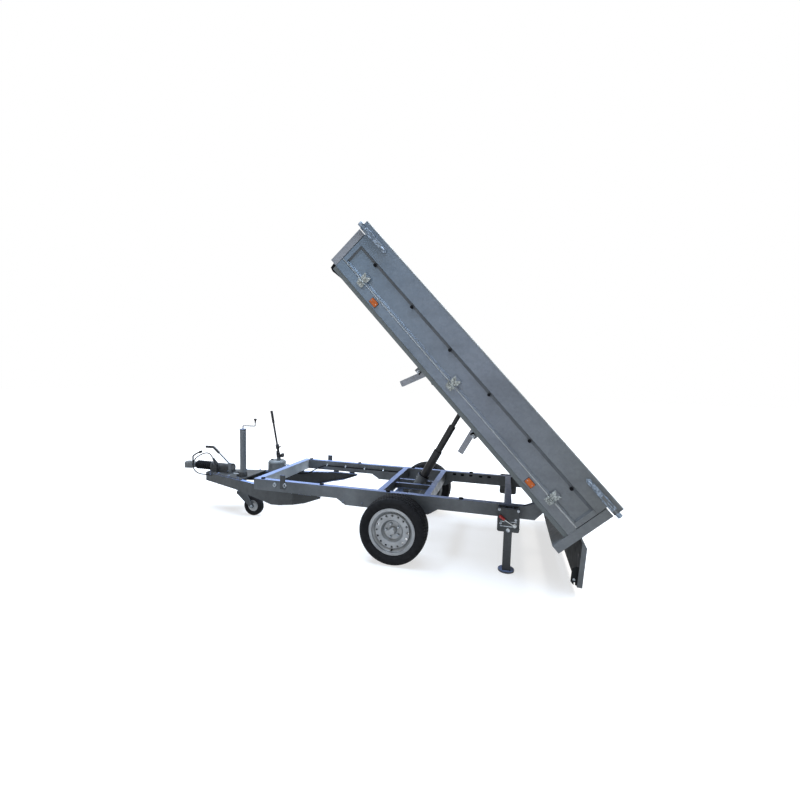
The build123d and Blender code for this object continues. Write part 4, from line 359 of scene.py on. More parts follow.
def add_bolt(bm, foot, way, radius):
    """Hexagon head on a washer."""
    way = way.normalized()
    washer = radius * 0.22
    head = radius * 1.05
    add_bar(bm, foot, foot + way * washer, radius * 1.55, 24)
    add_bar(bm, foot + way * washer, foot + way * (washer + head * 0.8), radius, 6)
    add_bar(bm, foot + way * (washer + head * 0.8), foot + way * (washer + head), radius, 6, radius * 0.82)


def circle(sides):
    """Angles of the corners of a many-sided circle."""
    return [2 * math.pi * index / sides for index in range(sides)]


def add_skin(bm, rows):
    """Faces between neighbouring rows of vertices; each row is a closed loop."""
    for first, second in zip(rows, rows[1:]):
        for index in range(len(first)):
            after = (index + 1) % len(first)
            bm.faces.new((first[index], first[after], second[after], second[index]))


def add_tube(bm, rows):
    """Skin over rows of vertices, closed by a face at each end."""
    add_skin(bm, rows)
    bm.faces.new(rows[0][::-1])
    bm.faces.new(rows[-1])


def turned_rows(bm, turn, profile, sides):
    """A circle of vertices for each (radius, distance along) of a profile."""
    rows = []
    for radius, along in profile:
        places = [(radius * math.cos(angle), radius * math.sin(angle), along) for angle in circle(sides)]
        rows.append([bm.verts.new(turn @ Vector(place)) for place in places])
    return rows


def add_lathe(bm, origin, way, profile, sides, top=None):
    """Turned shape: a profile of (radius, distance along), closed on the axis at its foot and its top."""
    turn = Matrix.Translation(origin) @ basis(way)
    rows = turned_rows(bm, turn, profile, sides)
    add_skin(bm, rows)
    for row, height in ((rows[0][::-1], 0.0), (rows[-1], top or profile[-1][1])):
        tip = bm.verts.new(turn @ Vector((0, 0, height)))
        for index in range(sides):
            bm.faces.new((row[index], row[(index + 1) % sides], tip))


def add_dome(bm, foot, way, radius, height, rings=4, sides=20):
    """Rivet or button: a low dome."""
    angles = [step / rings * math.pi / 2 for step in range(rings)]
    profile = [(radius * math.cos(angle), height * math.sin(angle)) for angle in angles]
    add_lathe(bm, foot, way, profile, sides, height)


def add_ring(bm, origin, way, profile, sides):
    """Turned ring: a closed profile of (radius, distance along) that stays off the axis."""
    rows = turned_rows(bm, Matrix.Translation(origin) @ basis(way), profile, sides)
    add_skin(bm, rows + rows[:1])


def add_path(bm, points, radius, sides=14):
    """Bar bent along points, with a radius for all or one for each point."""
    radii = radius if isinstance(radius, (list, tuple)) else [radius] * len(points)
    normal = None
    rings = []
    for index, point in enumerate(points):
        before = points[max(index - 1, 0)]
        after = points[min(index + 1, len(points) - 1)]
        way = (after - before).normalized()
        if normal is None:
            normal = way.orthogonal().normalized()
        normal = (normal - way * normal.dot(way)).normalized()
        side = way.cross(normal)
        rings.append([
            bm.verts.new(point + (normal * math.cos(turn) + side * math.sin(turn)) * radii[index])
            for turn in circle(sides)
        ])
    add_tube(bm, rings)


def arc_between(first, corner, last, steps=6):
    """Points of a smooth bend that leaves towards a corner and comes out of it."""
    return [
        first * (1 - share) ** 2 + corner * 2 * share * (1 - share) + last * share**2
        for share in (step / steps for step in range(steps + 1))
    ]


def add_weld(bm, start, end, radius=0.0035):
    """Weld bead: overlapping ripples along a seam."""
    way = end - start
    count = max(3, int(way.length / (radius * 1.3)))
    points = [start + way * (index / count) for index in range(count + 1)]
    radii = [radius * (0.86 + 0.22 * (index % 2) + random.uniform(-0.05, 0.05)) for index in range(count + 1)]
    add_path(bm, points, radii, 8)


def add_plate(bm, outline, off, thickness):
    """Flat plate from an outline of places, thickened along a direction."""
    lower = [bm.verts.new(point) for point in outline]
    upper = [bm.verts.new(point + off.normalized() * thickness) for point in outline]
    add_tube(bm, [upper, lower])


def piece(name, bm, body, finish, slot=None, rounding=0.0):
    """A finished mesh that rides on a body."""
    bmesh.ops.recalc_face_normals(bm, faces=bm.faces)
    mesh = bpy.data.meshes.new(name)
    bm.to_mesh(mesh)
    bm.free()
    mesh.materials.append(FINISHES[finish])
    for face in mesh.polygons:
        face.use_smooth = True
    mesh.set_sharp_from_angle(angle=SHARP_ANGLE)
    obj = bpy.data.objects.new(name, mesh)
    bpy.context.scene.collection.objects.link(obj)
    if rounding:
        soften(obj, rounding)
    slot = slot or SLOTS.get(finish)
    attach(obj, body)
    return obj


# Tyres with grooves, sipes and sidewall ribs
TREAD_HALF = 0.084
SHOULDER_DROP = 0.007
GROOVE_PLACES = (-0.052, -0.018, 0.018, 0.052)
GROOVE_HALF = 0.0045
GROOVE_DEPTH = 0.0075
GROOVE_EDGES = ((-1.0, False), (-0.72, True), (0.72, True), (1.0, False))  # share of its half, whether deep
CROWN_PLACES = (0.0, 0.010, 0.026, 0.035, 0.044, 0.060, 0.068, 0.078)
PITCHES = 70
STEPS_PER_PITCH = 6
BEAD_RADIUS = 0.1823
BEAD_HALF = 0.0707
BULGE_HALF = 0.0975
WALL_ANGLE = math.radians(62)
WALL_STEPS = 12
RIB_STEPS = (2, 8)
RIB_HEIGHT = 0.0009
CARCASS = ((0.0597, BEAD_RADIUS), (0.0865, 0.217), (0.073, 0.244))


def crown(across):
    """Drop of the tread's surface below the tyre's radius."""
    return SHOULDER_DROP * (across / TREAD_HALF) ** 2


def sidewall_section():
    """Sidewall from its bead to its shoulder: (across, radius, zone)."""
    rows = []
    flat = math.cos(WALL_ANGLE)
    for step in range(WALL_STEPS + 1):
        share = step / WALL_STEPS
        bulge = (math.cos(WALL_ANGLE * (2 * share - 1)) - flat) / (1 - flat)
        radius = BEAD_RADIUS + (TYRE_RADIUS - SHOULDER_DROP - BEAD_RADIUS) * share
        base = BEAD_HALF + (TREAD_HALF - BEAD_HALF) * share
        rib = RIB_HEIGHT if step in RIB_STEPS else 0.0
        rows.append((base + (BULGE_HALF - (BEAD_HALF + TREAD_HALF) / 2) * bulge + rib, radius, "wall"))
    return rows


def tyre_section():
    """Tyre from inner bead to outer bead and back along its inside: (across, radius, zone)."""
    tread = {(way * place, False) for place in CROWN_PLACES for way in (-1, 1)}
    for place in GROOVE_PLACES:
        tread.update((place + edge * GROOVE_HALF, deep) for edge, deep in GROOVE_EDGES)
    sidewall = sidewall_section()
    rows = [(-across, radius, zone) for across, radius, zone in sidewall]
    for across, deep in sorted(tread):
        radius = TYRE_RADIUS - crown(across) - deep * GROOVE_DEPTH
        rows.append((across, radius, "groove" if deep else "tread"))
    rows += sidewall[::-1]
    rows += [(across, radius, "inside") for across, radius in CARCASS]
    rows += [(-across, radius, "inside") for across, radius in reversed(CARCASS)]
    return rows


def sipe_depth(across, step):
    """Depth of the cross cuts in the tread blocks."""
    wide = abs(across)
    if wide > 0.057:
        return 0.0055 if step % STEPS_PER_PITCH == 0 else 0.0
    if 0.022 < wide < 0.048:
        return 0.0040 if (step + STEPS_PER_PITCH // 2) % STEPS_PER_PITCH == 0 else 0.0
    if wide < 0.014:
        return 0.0030 if step % (2 * STEPS_PER_PITCH) == 0 else 0.0
    return 0.0


def build_tyre(name, side):
    bm = bmesh.new()
    rings = []
    for across, radius, zone in tyre_section():
        ring = []
        for step, angle in enumerate(circle(PITCHES * STEPS_PER_PITCH)):
            reach = radius - (sipe_depth(across, step) if zone == "tread" else 0.0)
            ring.append(bm.verts.new((
                AXLE.x + reach * math.sin(angle),
                side * (TRACK_HALF + across),
                AXLE.z + reach * math.cos(angle),
            )))
        rings.append(ring)
    add_skin(bm, rings + rings[:1])
    tyre = piece(f"tread_{name}", bm, f"wheel_{name}", "tyre_rubber")
    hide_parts(f"tyre_{name}")


STUD_CIRCLE = 0.053
STUD_RADIUS = 0.0095
STUD_HEIGHT = 0.015
STUD_COUNT = 5
STUD_TURN = 0.3
HUB_FACE = 0.030  # outboard of the wheel's middle, where the studs sit
CAP_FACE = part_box("hub_left")[1].y - 0.0005
VALVE_CIRCLE = 0.1475
VALVE_FACE = 0.047


def build_wheel_fittings(name, side):
    """Wheel studs, the cap's rim and the tyre valve."""
    way = Y * side
    centre = Vector((AXLE.x, side * TRACK_HALF, AXLE.z))
    bm = bmesh.new()
    for corner in circle(STUD_COUNT):
        angle = corner + STUD_TURN
        spoke = X * math.sin(angle) + Z * math.cos(angle)
        foot = centre + way * HUB_FACE + spoke * STUD_CIRCLE
        add_lathe(bm, foot, way, [(0.0125, 0.0), (0.0105, 0.004)], 24)
        add_bar(bm, foot + way * 0.003, foot + way * STUD_HEIGHT, STUD_RADIUS, 6)
        add_lathe(bm, foot + way * STUD_HEIGHT, way, [(0.0088, 0.0), (0.006, 0.0035)], 12, 0.0045)
    piece(f"wheel_studs_{name}", bm, f"wheel_{name}", "bright_zinc", "silver_paint")
    bm = bmesh.new()
    cap_profile = [(0.0298, 0.0), (0.0315, 0.002), (0.0315, 0.006), (0.0298, 0.008)]
    add_ring(bm, centre + way * HUB_FACE, way, cap_profile, 40)
    cap = Vector((AXLE.x, side * CAP_FACE, AXLE.z))
    add_lathe(bm, cap, way, [(0.0235, 0.0), (0.0225, 0.0035), (0.0150, 0.0055)], 36, 0.0060)
    piece(f"cap_rim_{name}", bm, f"wheel_{name}", "silver_paint")
    bm = bmesh.new()
    valve = centre + Z * -VALVE_CIRCLE + way * VALVE_FACE
    stem = [valve, valve + way * 0.012, valve + way * 0.026 + Z * 0.002]
    add_path(bm, stem, [0.0058, 0.0046, 0.0036])
    add_bar(bm, valve + way * 0.024 + Z * 0.002, valve + way * 0.033 + Z * 0.003, 0.0042, 12)
    piece(f"valve_{name}", bm, f"wheel_{name}", "black_rubber")


for label, hand in LEFT_RIGHT:
    build_tyre(label, hand)
    build_wheel_fittings(label, hand)


# Bolts, welds, rope hooks, grommets and hose fittings of the chassis
DRAWBAR_BEND = 1.000
DRAWBAR_TIP = 2.250
DRAWBAR_BEND_Y = 0.442
DRAWBAR_TIP_Y = 0.055
DRAWBAR_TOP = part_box("drawbar_left")[1].z
BRIDGE_TOP = 0.388
STAND_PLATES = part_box("stand_plates")
STAND_X = (STAND_PLATES[0].x + STAND_PLATES[1].x) / 2
STAND_FACE = 0.486

# Bolts by their distance ahead of the axle
CHANNEL_BOLTS = (0.500, 0.330, 0.020, -0.250)
SPACER_BOLTS = (0.961, 0.989, 0.776, 0.804)
BRIDGE_BOLTS = (1.760, 1.900, 2.060, 2.200)
HOUSING_BOLTS = (1.985, 2.120)
# Bolts and hooks by that distance and their height; those of the stands start from the stand's middle
STAND_BOLTS = ((-0.060, 0.462), (0.060, 0.462), (-0.060, 0.420), (0.060, 0.420))
BOLT_ENDS = ((2.211, 0.290), (2.058, 0.286))
ROPE_HOOKS = ((1.146, 0.457), (1.047, 0.459))


def drawbar_y(reach):
    """Distance of the channel's outer face from the middle."""
    share = max(0.0, (reach - DRAWBAR_BEND) / (DRAWBAR_TIP - DRAWBAR_BEND))
    return DRAWBAR_BEND_Y + (DRAWBAR_TIP_Y - DRAWBAR_BEND_Y) * share


def build_chassis_bolts():
    """Bolts of the channels, spacers, stands, bridge plate, housing, pump and coupling."""
    bm = bmesh.new()
    pump_low, pump_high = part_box("pump_body")
    pump_y = middle_of("pump_body").y
    neck_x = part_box("coupling_head")[1].x - 0.118
    for side in SIDES:
        outward = Y * side
        for reach in CHANNEL_BOLTS:
            add_bolt(bm, ahead(reach, side * RAIL_OUTER, RAIL_BOTTOM - 0.025), outward, 0.0085)
        for reach in SPACER_BOLTS:
            add_bolt(bm, ahead(reach, side * (DRAWBAR_BEND_Y - 0.012), DRAWBAR_TOP - 0.005), -Z, 0.006)
        for across, height in STAND_BOLTS:
            add_bolt(bm, Vector((STAND_X + across, side * STAND_FACE, height)), outward, 0.0080)
        for reach in BRIDGE_BOLTS:
            place = ahead(reach, side * (drawbar_y(reach) - 0.022), BRIDGE_TOP)
            add_bolt(bm, place, Z, 0.0075)
            add_bolt(bm, place - Z * (BRIDGE_TOP - DRAWBAR_TOP + 0.005), -Z, 0.0075)
        for reach in HOUSING_BOLTS:
            add_bolt(bm, ahead(reach, side * 0.0405, BRIDGE_TOP + 0.020), Z, 0.0070)
        for along in (pump_low.x + 0.010, pump_high.x - 0.010):
            add_bolt(bm, Vector((along, pump_y + side * 0.034, DRAWBAR_TOP + 0.008)), Z, 0.0055)
        for shift in (-0.018, 0.018):
            add_bolt(bm, Vector((neck_x + shift, side * 0.029, 0.438)), outward, 0.0070)
    piece("chassis_bolts", bm, "chassis", "galvanised_frame")


def build_rope_hooks():
    bm = bmesh.new()
    for side in SIDES:
        for reach, height in ROPE_HOOKS:
            foot = ahead(reach, side * RAIL_OUTER, height)
            add_lathe(bm, foot, Y * side, [(0.012, 0.0), (0.012, 0.004)], 20)
            centre = foot + Y * side * 0.010
            turns = [math.radians(-100 + 200 * step / 12) for step in range(13)]
            ring = [centre + X * 0.015 * math.cos(turn) + Z * 0.017 * math.sin(turn) for turn in turns]
            add_path(bm, [foot, *ring, foot], 0.0036, 12)
    piece("rope_hooks", bm, "chassis", "bright_zinc")


def build_drawbar_bolt_ends():
    bm = bmesh.new()
    for reach, height in BOLT_ENDS:
        for side in SIDES:
            add_bolt(bm, ahead(reach, side * (drawbar_y(reach) - 0.020), height), -Z, 0.0080)
    piece("drawbar_bolt_ends", bm, "chassis", "galvanised_frame")


# Seams of the crossmembers along the rails: (distance ahead of the axle, depth)
CROSSMEMBER_SEAMS = (
    (1.305, 0.098),
    (0.209, 0.090),
    (0.159, 0.090),
    (-0.185, 0.090),
    (-0.235, 0.090),
    (-0.821, 0.090),
    (-0.871, 0.090),
)
TRUNNION_SEAMS = ((0.118, 0.421), (0.118, 0.471), (-0.144, 0.421), (-0.144, 0.471))  # ahead, height


def build_chassis_welds():
    bm = bmesh.new()
    for side in SIDES:
        seam = side * (RAIL_INNER - 0.0005)
        for reach, depth in CROSSMEMBER_SEAMS:
            add_weld(bm, ahead(reach, seam, RAIL_TOP - 0.004), ahead(reach, seam, RAIL_TOP - depth))
    for side in SIDES:
        for reach, height in TRUNNION_SEAMS:
            add_weld(bm, ahead(reach, side * 0.059, height), ahead(reach, side * 0.085, height), 0.003)
    piece("chassis_welds", bm, "chassis", "galvanised_frame")


# Grommets by their distance ahead of the axle and their height, hose clips by that distance
GROMMETS = ((-0.322, 0.471), (-0.402, 0.469), (-0.487, 0.471), (-0.583, 0.469), (-0.665, 0.471))
HOSE_CLIPS = (1.080, 0.860, 0.640, 0.430)


def build_rail_grommets():
    """Rubber grommets along the inner face of the rails, behind the cylinder."""
    bm = bmesh.new()
    for side in SIDES:
        for reach, height in GROMMETS:
            foot = ahead(reach, side * (RAIL_INNER + 0.001), height)
            for place in (foot - X * 0.008, foot + X * 0.008):
                add_bar(bm, place, place - Y * side * 0.004, 0.0095)
            add_block(bm, foot - Y * side * 0.0015, X, Z, (0.016, 0.005, 0.019))
    piece("rail_grommets", bm, "chassis", "black_rubber")


def build_hose_fittings():
    """Clips that hold the hose, and the crimped ends."""
    bm = bmesh.new()
    hose_y = -RAIL_INNER + 0.012
    hose_z = RAIL_BOTTOM + RAIL_HEIGHT / 2
    for reach in HOSE_CLIPS:
        centre = ahead(reach, hose_y, hose_z)
        ring = [(0.0062, 0.0), (0.0082, 0.0), (0.0082, 0.012), (0.0062, 0.012)]
        add_ring(bm, centre - X * 0.006, X, ring, 20)
        add_block(bm, centre + Vector((0, -0.0105, 0.012)), X, Y, (0.012, 0.020, 0.0018), 0.0004)
        add_bolt(bm, centre + Vector((0, -0.0095, 0.016)), Y, 0.0040)
    piece("hose_clips", bm, "chassis", "bright_zinc")
    bm = bmesh.new()
    pump_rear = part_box("pump_body")[0].x
    start = Vector((pump_rear, middle_of("pump_body").y, 0.453))
    add_bar(bm, start - X * 0.001, start - X * 0.018, 0.0100, 6)
    add_bar(bm, start - X * 0.016, start - X * 0.046, 0.0082, 20)
    end = Vector((AXLE.x + 0.209, -0.140, hose_z))
    add_bar(bm, end + X * 0.001, end + X * 0.016, 0.0100, 6)
    add_bar(bm, end + X * 0.014, end + X * 0.040, 0.0082, 20)
    piece("hose_fittings", bm, "chassis", "bright_zinc")


build_chassis_bolts()
build_rope_hooks()
build_drawbar_bolt_ends()
build_chassis_welds()
build_rail_grommets()
build_hose_fittings()


# Prop stands: outer plate of the bracket, its spacers and bolts, and the catch with its red grip
STAND_LOW = STAND_PLATES[0].z
STAND_HIGH = STAND_PLATES[1].z
STAND_PIVOT_Z = 0.322
COVER_Y = 0.5490
COVER_THICKNESS = 0.0040
COVER_HALF = 0.0800
COVER_CORNER = 0.014
COVER_RISE = 0.003
CATCH_Y = COVER_Y + COVER_THICKNESS + 0.0095
CATCH_HIGH = (0.060, 0.104)
CATCH_BEND = (0.010, 0.070)
CATCH_LOW = (-0.046, 0.040)
BOSS_Y = COVER_Y + COVER_THICKNESS - 0.0005
COVER_BOLTS = (
    # across, height, radius
    (-0.0675, 0.474, 0.0065),
    (0.0675, 0.474, 0.0065),
    (-0.052, 0.405, 0.0060),
    (0.055, 0.372, 0.0060),
)


def rounded_outline(low, high, radius, steps=5):
    """Corners of an upright rounded rectangle: (along, height)."""
    outline = []
    for corner, (along, up) in enumerate(((1, 1), (-1, 1), (-1, -1), (1, -1))):
        centre_x = high[0] - radius if along > 0 else low[0] + radius
        centre_z = high[1] - radius if up > 0 else low[1] + radius
        for step in range(steps + 1):
            angle = math.pi / 2 * (corner + step / steps)
            outline.append((centre_x + radius * math.cos(angle), centre_z + radius * math.sin(angle)))
    return outline


def build_stand_cover(name, side):
    outward = Y * side
    bm = bmesh.new()
    low, high = (STAND_X - COVER_HALF, STAND_LOW + COVER_RISE), (STAND_X + COVER_HALF, STAND_HIGH)
    outline = [Vector((x, side * COVER_Y, z)) for x, z in rounded_outline(low, high, COVER_CORNER)]
    add_plate(bm, outline, outward, COVER_THICKNESS)
    for across in (-0.0715, 0.0715):
        foot = Vector((STAND_X + across, side * (STAND_FACE - 0.001), STAND_HIGH - 0.013))
        add_bar(bm, foot, foot + outward * (COVER_Y - STAND_FACE + 0.002), 0.0060, 20)
    # The cover plate and its spacers take the darker zinc: painted shade.
    piece(f"stand_cover_{name}", bm, "chassis", "dark_zinc", rounding=0.0008)
    bm = bmesh.new()
    face = side * (COVER_Y + COVER_THICKNESS)
    for across, height, radius in COVER_BOLTS:
        add_bolt(bm, Vector((STAND_X + across, face, height)), outward, radius)
    for height in (0.352, 0.3865):
        centre = Vector((STAND_X, face, height))
        add_block(bm, centre, X, Z, (0.118, 0.0050, 0.0070), 0.0015)
    piece(f"stand_cover_bolts_{name}", bm, "chassis", "bright_zinc")


def build_stand(name, side):
    build_stand_cover(name, side)
    high, middle, low = (
        Vector((STAND_X + along, side * CATCH_Y, STAND_PIVOT_Z + height))
        for along, height in (CATCH_HIGH, CATCH_BEND, CATCH_LOW)
    )
    bm = bmesh.new()
    way = (high - middle).normalized()
    bend = arc_between(middle + way * 0.012, middle, middle + (low - middle).normalized() * 0.012)
    add_path(bm, [high - way * 0.030, *bend, low], 0.0058, 16)
    boss = Vector((low.x, side * BOSS_Y, low.z))
    profile = [(0.0150, 0.0), (0.0150, 0.004), (0.0110, 0.006), (0.0110, 0.017)]
    add_lathe(bm, boss, Y * side, profile, 28, 0.018)
    piece(f"stand_lever_{name}", bm, "chassis", "chrome")
    bm = bmesh.new()
    start = high - way * 0.040
    shares = (0.0, 0.06, 0.2, 0.5, 0.8, 0.95, 1.0)
    radii = (0.0070, 0.0100, 0.0116, 0.0108, 0.0120, 0.0105, 0.0055)
    add_path(bm, [start + (high + way * 0.008 - start) * share for share in shares], radii, 18)
    piece(f"stand_grip_{name}", bm, "chassis", "red_plastic")
    bm = bmesh.new()
    pin = Vector((STAND_X, side * BOSS_Y, STAND_PIVOT_Z))
    add_lathe(bm, pin, Y * side, [(0.0145, 0.0), (0.0145, 0.003), (0.011, 0.005)], 28)
    piece(f"stand_pin_{name}", bm, "chassis", "bright_zinc")


for label, hand in LEFT_RIGHT:
    build_stand(label, hand)


# Jockey wheel: axle bolts, and the screw of its clamp with its cross bar
def build_jockey():
    hub = middle_of("jockey_rim")
    fork_half = (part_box("jockey_fork")[1].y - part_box("jockey_fork")[0].y) / 2
    bm = bmesh.new()
    for side in SIDES:
        add_bolt(bm, hub + Y * side * fork_half, Y * side, 0.0085)
    piece("jockey_axle_bolt", bm, "jockey_caster", "bright_zinc")
    tube = middle_of("jockey_tube")
    clamp = Vector((tube.x + 0.058, tube.y, BRIDGE_TOP + 0.028))
    bm = bmesh.new()
    add_bar(bm, clamp - Y * 0.030, clamp + Y * 0.032, 0.0060, 16)
    add_bolt(bm, clamp - Y * 0.015, -Y, 0.0085)
    tommy_bar = [clamp + Y * 0.030 - X * 0.030, clamp + Y * 0.030, clamp + Y * 0.032 + X * 0.034]
    add_path(bm, tommy_bar, [0.0050, 0.0062, 0.0050])
    piece("jockey_clamp_screw", bm, "chassis", "bright_zinc")


build_jockey()


# Pump: collar, release knob, the lever's foot, stem and grip, and the filler cap
GRIP_LENGTH = 0.135


def build_pump():
    low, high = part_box("pump_body")
    column = Vector(((low.x + high.x) / 2 - 0.020, (low.y + high.y) / 2, high.z))
    bm = bmesh.new()
    collar = [(0.0235, 0.0), (0.0250, 0.004), (0.0250, 0.026), (0.0225, 0.030)]
    add_lathe(bm, column - Z * 0.030, Z, collar, 32)
    knob = column + Vector((-0.024, 0.0, -0.006))
    add_lathe(bm, knob, -X, [(0.010, 0.0), (0.010, 0.012), (0.024, 0.014), (0.024, 0.030)], 12, 0.032)
    add_block(bm, column + Vector((0.012, 0, 0.018)), X, Z, (0.018, 0.040, 0.046), 0.003)
    lever_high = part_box("pump_lever")[1]
    tip = Vector((lever_high.x - 0.009, column.y, lever_high.z))
    way = (tip - column).normalized()
    sleeve = [column + way * reach for reach in (0.060, 0.064, 0.110, 0.114)]
    add_path(bm, sleeve, [0.014, 0.019, 0.019, 0.014], 20)
    add_bar(bm, column + way * 0.087 - X * 0.020, column + way * 0.087 - X * 0.042, 0.0065, 6)
    add_path(bm, [column + way * 0.118, tip - way * GRIP_LENGTH], 0.0105, 18)
    shares = (0.0, 0.03, 0.5, 0.94, 1.0)
    radii = (0.0110, 0.0135, 0.0130, 0.0140, 0.0100)
    grip = tip - way * 0.130
    add_path(bm, [grip + way * GRIP_LENGTH * share for share in shares], radii, 20)
    piece("pump_clamp", bm, "chassis", "black_steel")
    bm = bmesh.new()
    cap = Vector((high.x - 0.046, column.y + 0.020, 0.494))
    add_lathe(bm, cap, Z, [(0.014, 0.0), (0.014, 0.012), (0.009, 0.016)], 18)
    piece("pump_filler_cap", bm, "chassis", "black_plastic")


build_pump()


# Telescopic cylinder: wiper rings and the port on the barrel
WIPERS = (
    # node that carries the ring, body, radius of the tube, of the ring and inside it, height of the ring
    ("cylinder_barrel", "cylinder", 0.0500, 0.0525, 0.0385, 0.0055),
    ("cylinder_stage_1", "stage_1", 0.0380, 0.0372, 0.0315, 0.0055),
    ("cylinder_stage_2", "stage_2", 0.0310, 0.0240, 0.0205, 0.0012),
)
TRUNNION = Vector((AXLE.x - 0.046, 0, 0.446))
EYE_PLACE = 0.969
EYE = on_bed(EYE_PLACE, 0, 0.100)
RAM_WAY = (EYE - TRUNNION).normalized()


def build_cylinder():
    for node, body, tube, outer, inner, height in WIPERS:
        low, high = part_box(node)
        reach = (high.z - TRUNNION.z - math.sqrt(1 - RAM_WAY.z**2) * tube) / RAM_WAY.z
        top = TRUNNION + RAM_WAY * reach
        bm = bmesh.new()
        profile = [(inner, 0.0002), (outer, 0.0002), (outer, height * 0.7), (inner, height)]
        add_ring(bm, top, RAM_WAY, profile, 40)
        piece(f"wiper_{body}", bm, body, "black_rubber")
    bm = bmesh.new()
    side = Y.cross(RAM_WAY)
    port = TRUNNION - RAM_WAY * 0.170 + Y * -0.050
    add_bar(bm, port + Y * 0.004, port - Y * 0.014, 0.0130, 6)
    add_bar(bm, port - Y * 0.012, port - Y * 0.030, 0.0085, 20)
    add_bolt(bm, TRUNNION + RAM_WAY * 0.060 + side * 0.0495, side, 0.0060)
    piece("cylinder_port", bm, "cylinder", "bright_zinc")


build_cylinder()


# Bed: screws, stay brackets, black corner wedges of painted shade, marker gaskets and welds; (along the bed, off
# its hinge line)
MARKER_PLACES = (0.256, 1.906)
MARKER_T = 0.118
STAY_PLACES = (1.347, 0.725)
STAY_BOLTS = ((1.347, 0.012), (0.725, 0.009), (1.318, 0.050), (0.760, 0.050))
CORNER_SHADE = ((2.338, 0.090), (2.331, 0.046), (2.300, 0.038), (2.216, 0.052))
CROSS_WELDS = (0.180, 0.470, 0.765, 1.080, 1.290, 1.560, 1.830, 2.100)


def build_bed_fittings():
    screws, brackets, corner_shades, gaskets = (bmesh.new() for _ in range(4))
    for side in SIDES:
        outward = Y * side
        for place in MARKER_PLACES:
            for shift in (-0.022, 0.022):
                foot = on_bed(place + shift, side * (BED_HALF + 0.0088), MARKER_T)
                add_dome(screws, foot, outward, 0.0032, 0.0016)
            centre = on_bed(place, side * (BED_HALF + 0.0015), MARKER_T)
            add_block(gaskets, centre, BED_ALONG, BED_OFF, (0.068, 0.003, 0.044), 0.001)
        for place, height in STAY_BOLTS:
            add_bolt(screws, on_bed(place, side * 0.625, height), outward, 0.0085)
        for place in STAY_PLACES:
            foot = on_bed(place, side * 0.612, 0.026)
            add_block(brackets, foot, BED_ALONG, BED_OFF, (0.052, 0.026, 0.054), 0.0025)
            lug = on_bed(place + 0.030, side * 0.612, 0.046)
            add_block(brackets, lug, BED_ALONG, BED_OFF, (0.030, 0.024, 0.006))
        # Painted shade: black wedges at the front ends of the side rails.
        outline = [on_bed(s, side * 0.7735, t) for s, t in CORNER_SHADE]
        add_plate(corner_shades, outline, Y * -side, 0.030)
    piece("bed_screws", screws, "bed", "bright_zinc")
    piece("stay_brackets", brackets, "bed", "galvanised_frame")
    piece("front_corner_shades", corner_shades, "bed", "black_rubber")
    piece("marker_gaskets", gaskets, "bed", "black_plastic")


def build_bed_welds():
    bm = bmesh.new()
    for side in SIDES:
        seam = side * (BED_HALF - 0.0015)
        for place in (BED_REAR + 0.0635, BED_FRONT - 0.0555):
            add_weld(bm, on_bed(place, seam, 0.086), on_bed(place, seam, 0.148), 0.0028)
        for place in CROSS_WELDS:
            for s in (place - 0.0205, place + 0.0205):
                add_weld(bm, on_bed(s, side * 0.429, 0.0805), on_bed(s, side * 0.471, 0.0805), 0.003)
    for side in SIDES:
        for s in (EYE_PLACE - 0.036, EYE_PLACE + 0.036):
            add_weld(bm, on_bed(s, side * 0.025, 0.1455), on_bed(s, side * 0.033, 0.1455), 0.003)
    piece("bed_welds", bm, "bed", "galvanised_frame")


build_bed_fittings()
build_bed_welds()


# Hinges of the side walls: fixed leaves on the bed, winged straps on the walls
HINGE_PLACES = (0.091, 1.095, 2.077)
HINGE_T = 0.150
LEAF_FACE = BED_HALF + 0.004
HINGE_LINE_Y = BED_HALF + 0.009
KNUCKLE_RADIUS = 0.0080
# Outlines and rivets: (along, off the hinge line); knuckles: (start, end) along the hinge line
LEAF_OUTLINE = ((-0.031, -0.009), (0.031, -0.009), (0.026, -0.033), (-0.026, -0.033))
LEAF_RIVETS = ((-0.017, -0.021), (0.017, -0.021))
LEAF_KNUCKLES = ((-0.032, -0.0125), (0.0125, 0.032))
STRAP_OUTLINE = (
    (-0.011, 0.008), (-0.030, 0.020), (-0.031, 0.064), (-0.014, 0.058),
    (0.0, 0.040), (0.014, 0.058), (0.031, 0.064), (0.030, 0.020), (0.011, 0.008),
)
STRAP_RIVETS = ((-0.022, 0.048), (0.022, 0.048), (0.0, 0.024))
STRAP_KNUCKLES = ((-0.0108, 0.0108),)


def hinge_halves(side, outline, thickness, rivets, rivet_size, knuckles):
    """One half of each hinge of a side: plate, rivets and knuckles."""
    bm = bmesh.new()
    outward = Y * side
    for place in HINGE_PLACES:
        corners = [on_bed(place + s, side * LEAF_FACE, HINGE_T + t) for s, t in outline]
        add_plate(bm, corners, outward, thickness)
        for s, t in rivets:
            add_dome(bm, on_bed(place + s, side * (LEAF_FACE + thickness), HINGE_T + t), outward, *rivet_size)
        for knuckle in knuckles:
            start, end = (on_bed(place + s, side * HINGE_LINE_Y, HINGE_T) for s in knuckle)
            add_bar(bm, start, end, KNUCKLE_RADIUS)
    return bm


def build_side_hinges(name, side):
    leaves = hinge_halves(side, LEAF_OUTLINE, 0.0022, LEAF_RIVETS, (0.0048, 0.0026), LEAF_KNUCKLES)
    piece(f"hinge_leaves_{name}", leaves, "bed", "hinge_zinc")
    straps = hinge_halves(side, STRAP_OUTLINE, 0.0024, STRAP_RIVETS, (0.0050, 0.0028), STRAP_KNUCKLES)
    piece(f"hinge_straps_{name}", straps, f"side_{name}", "hinge_zinc")


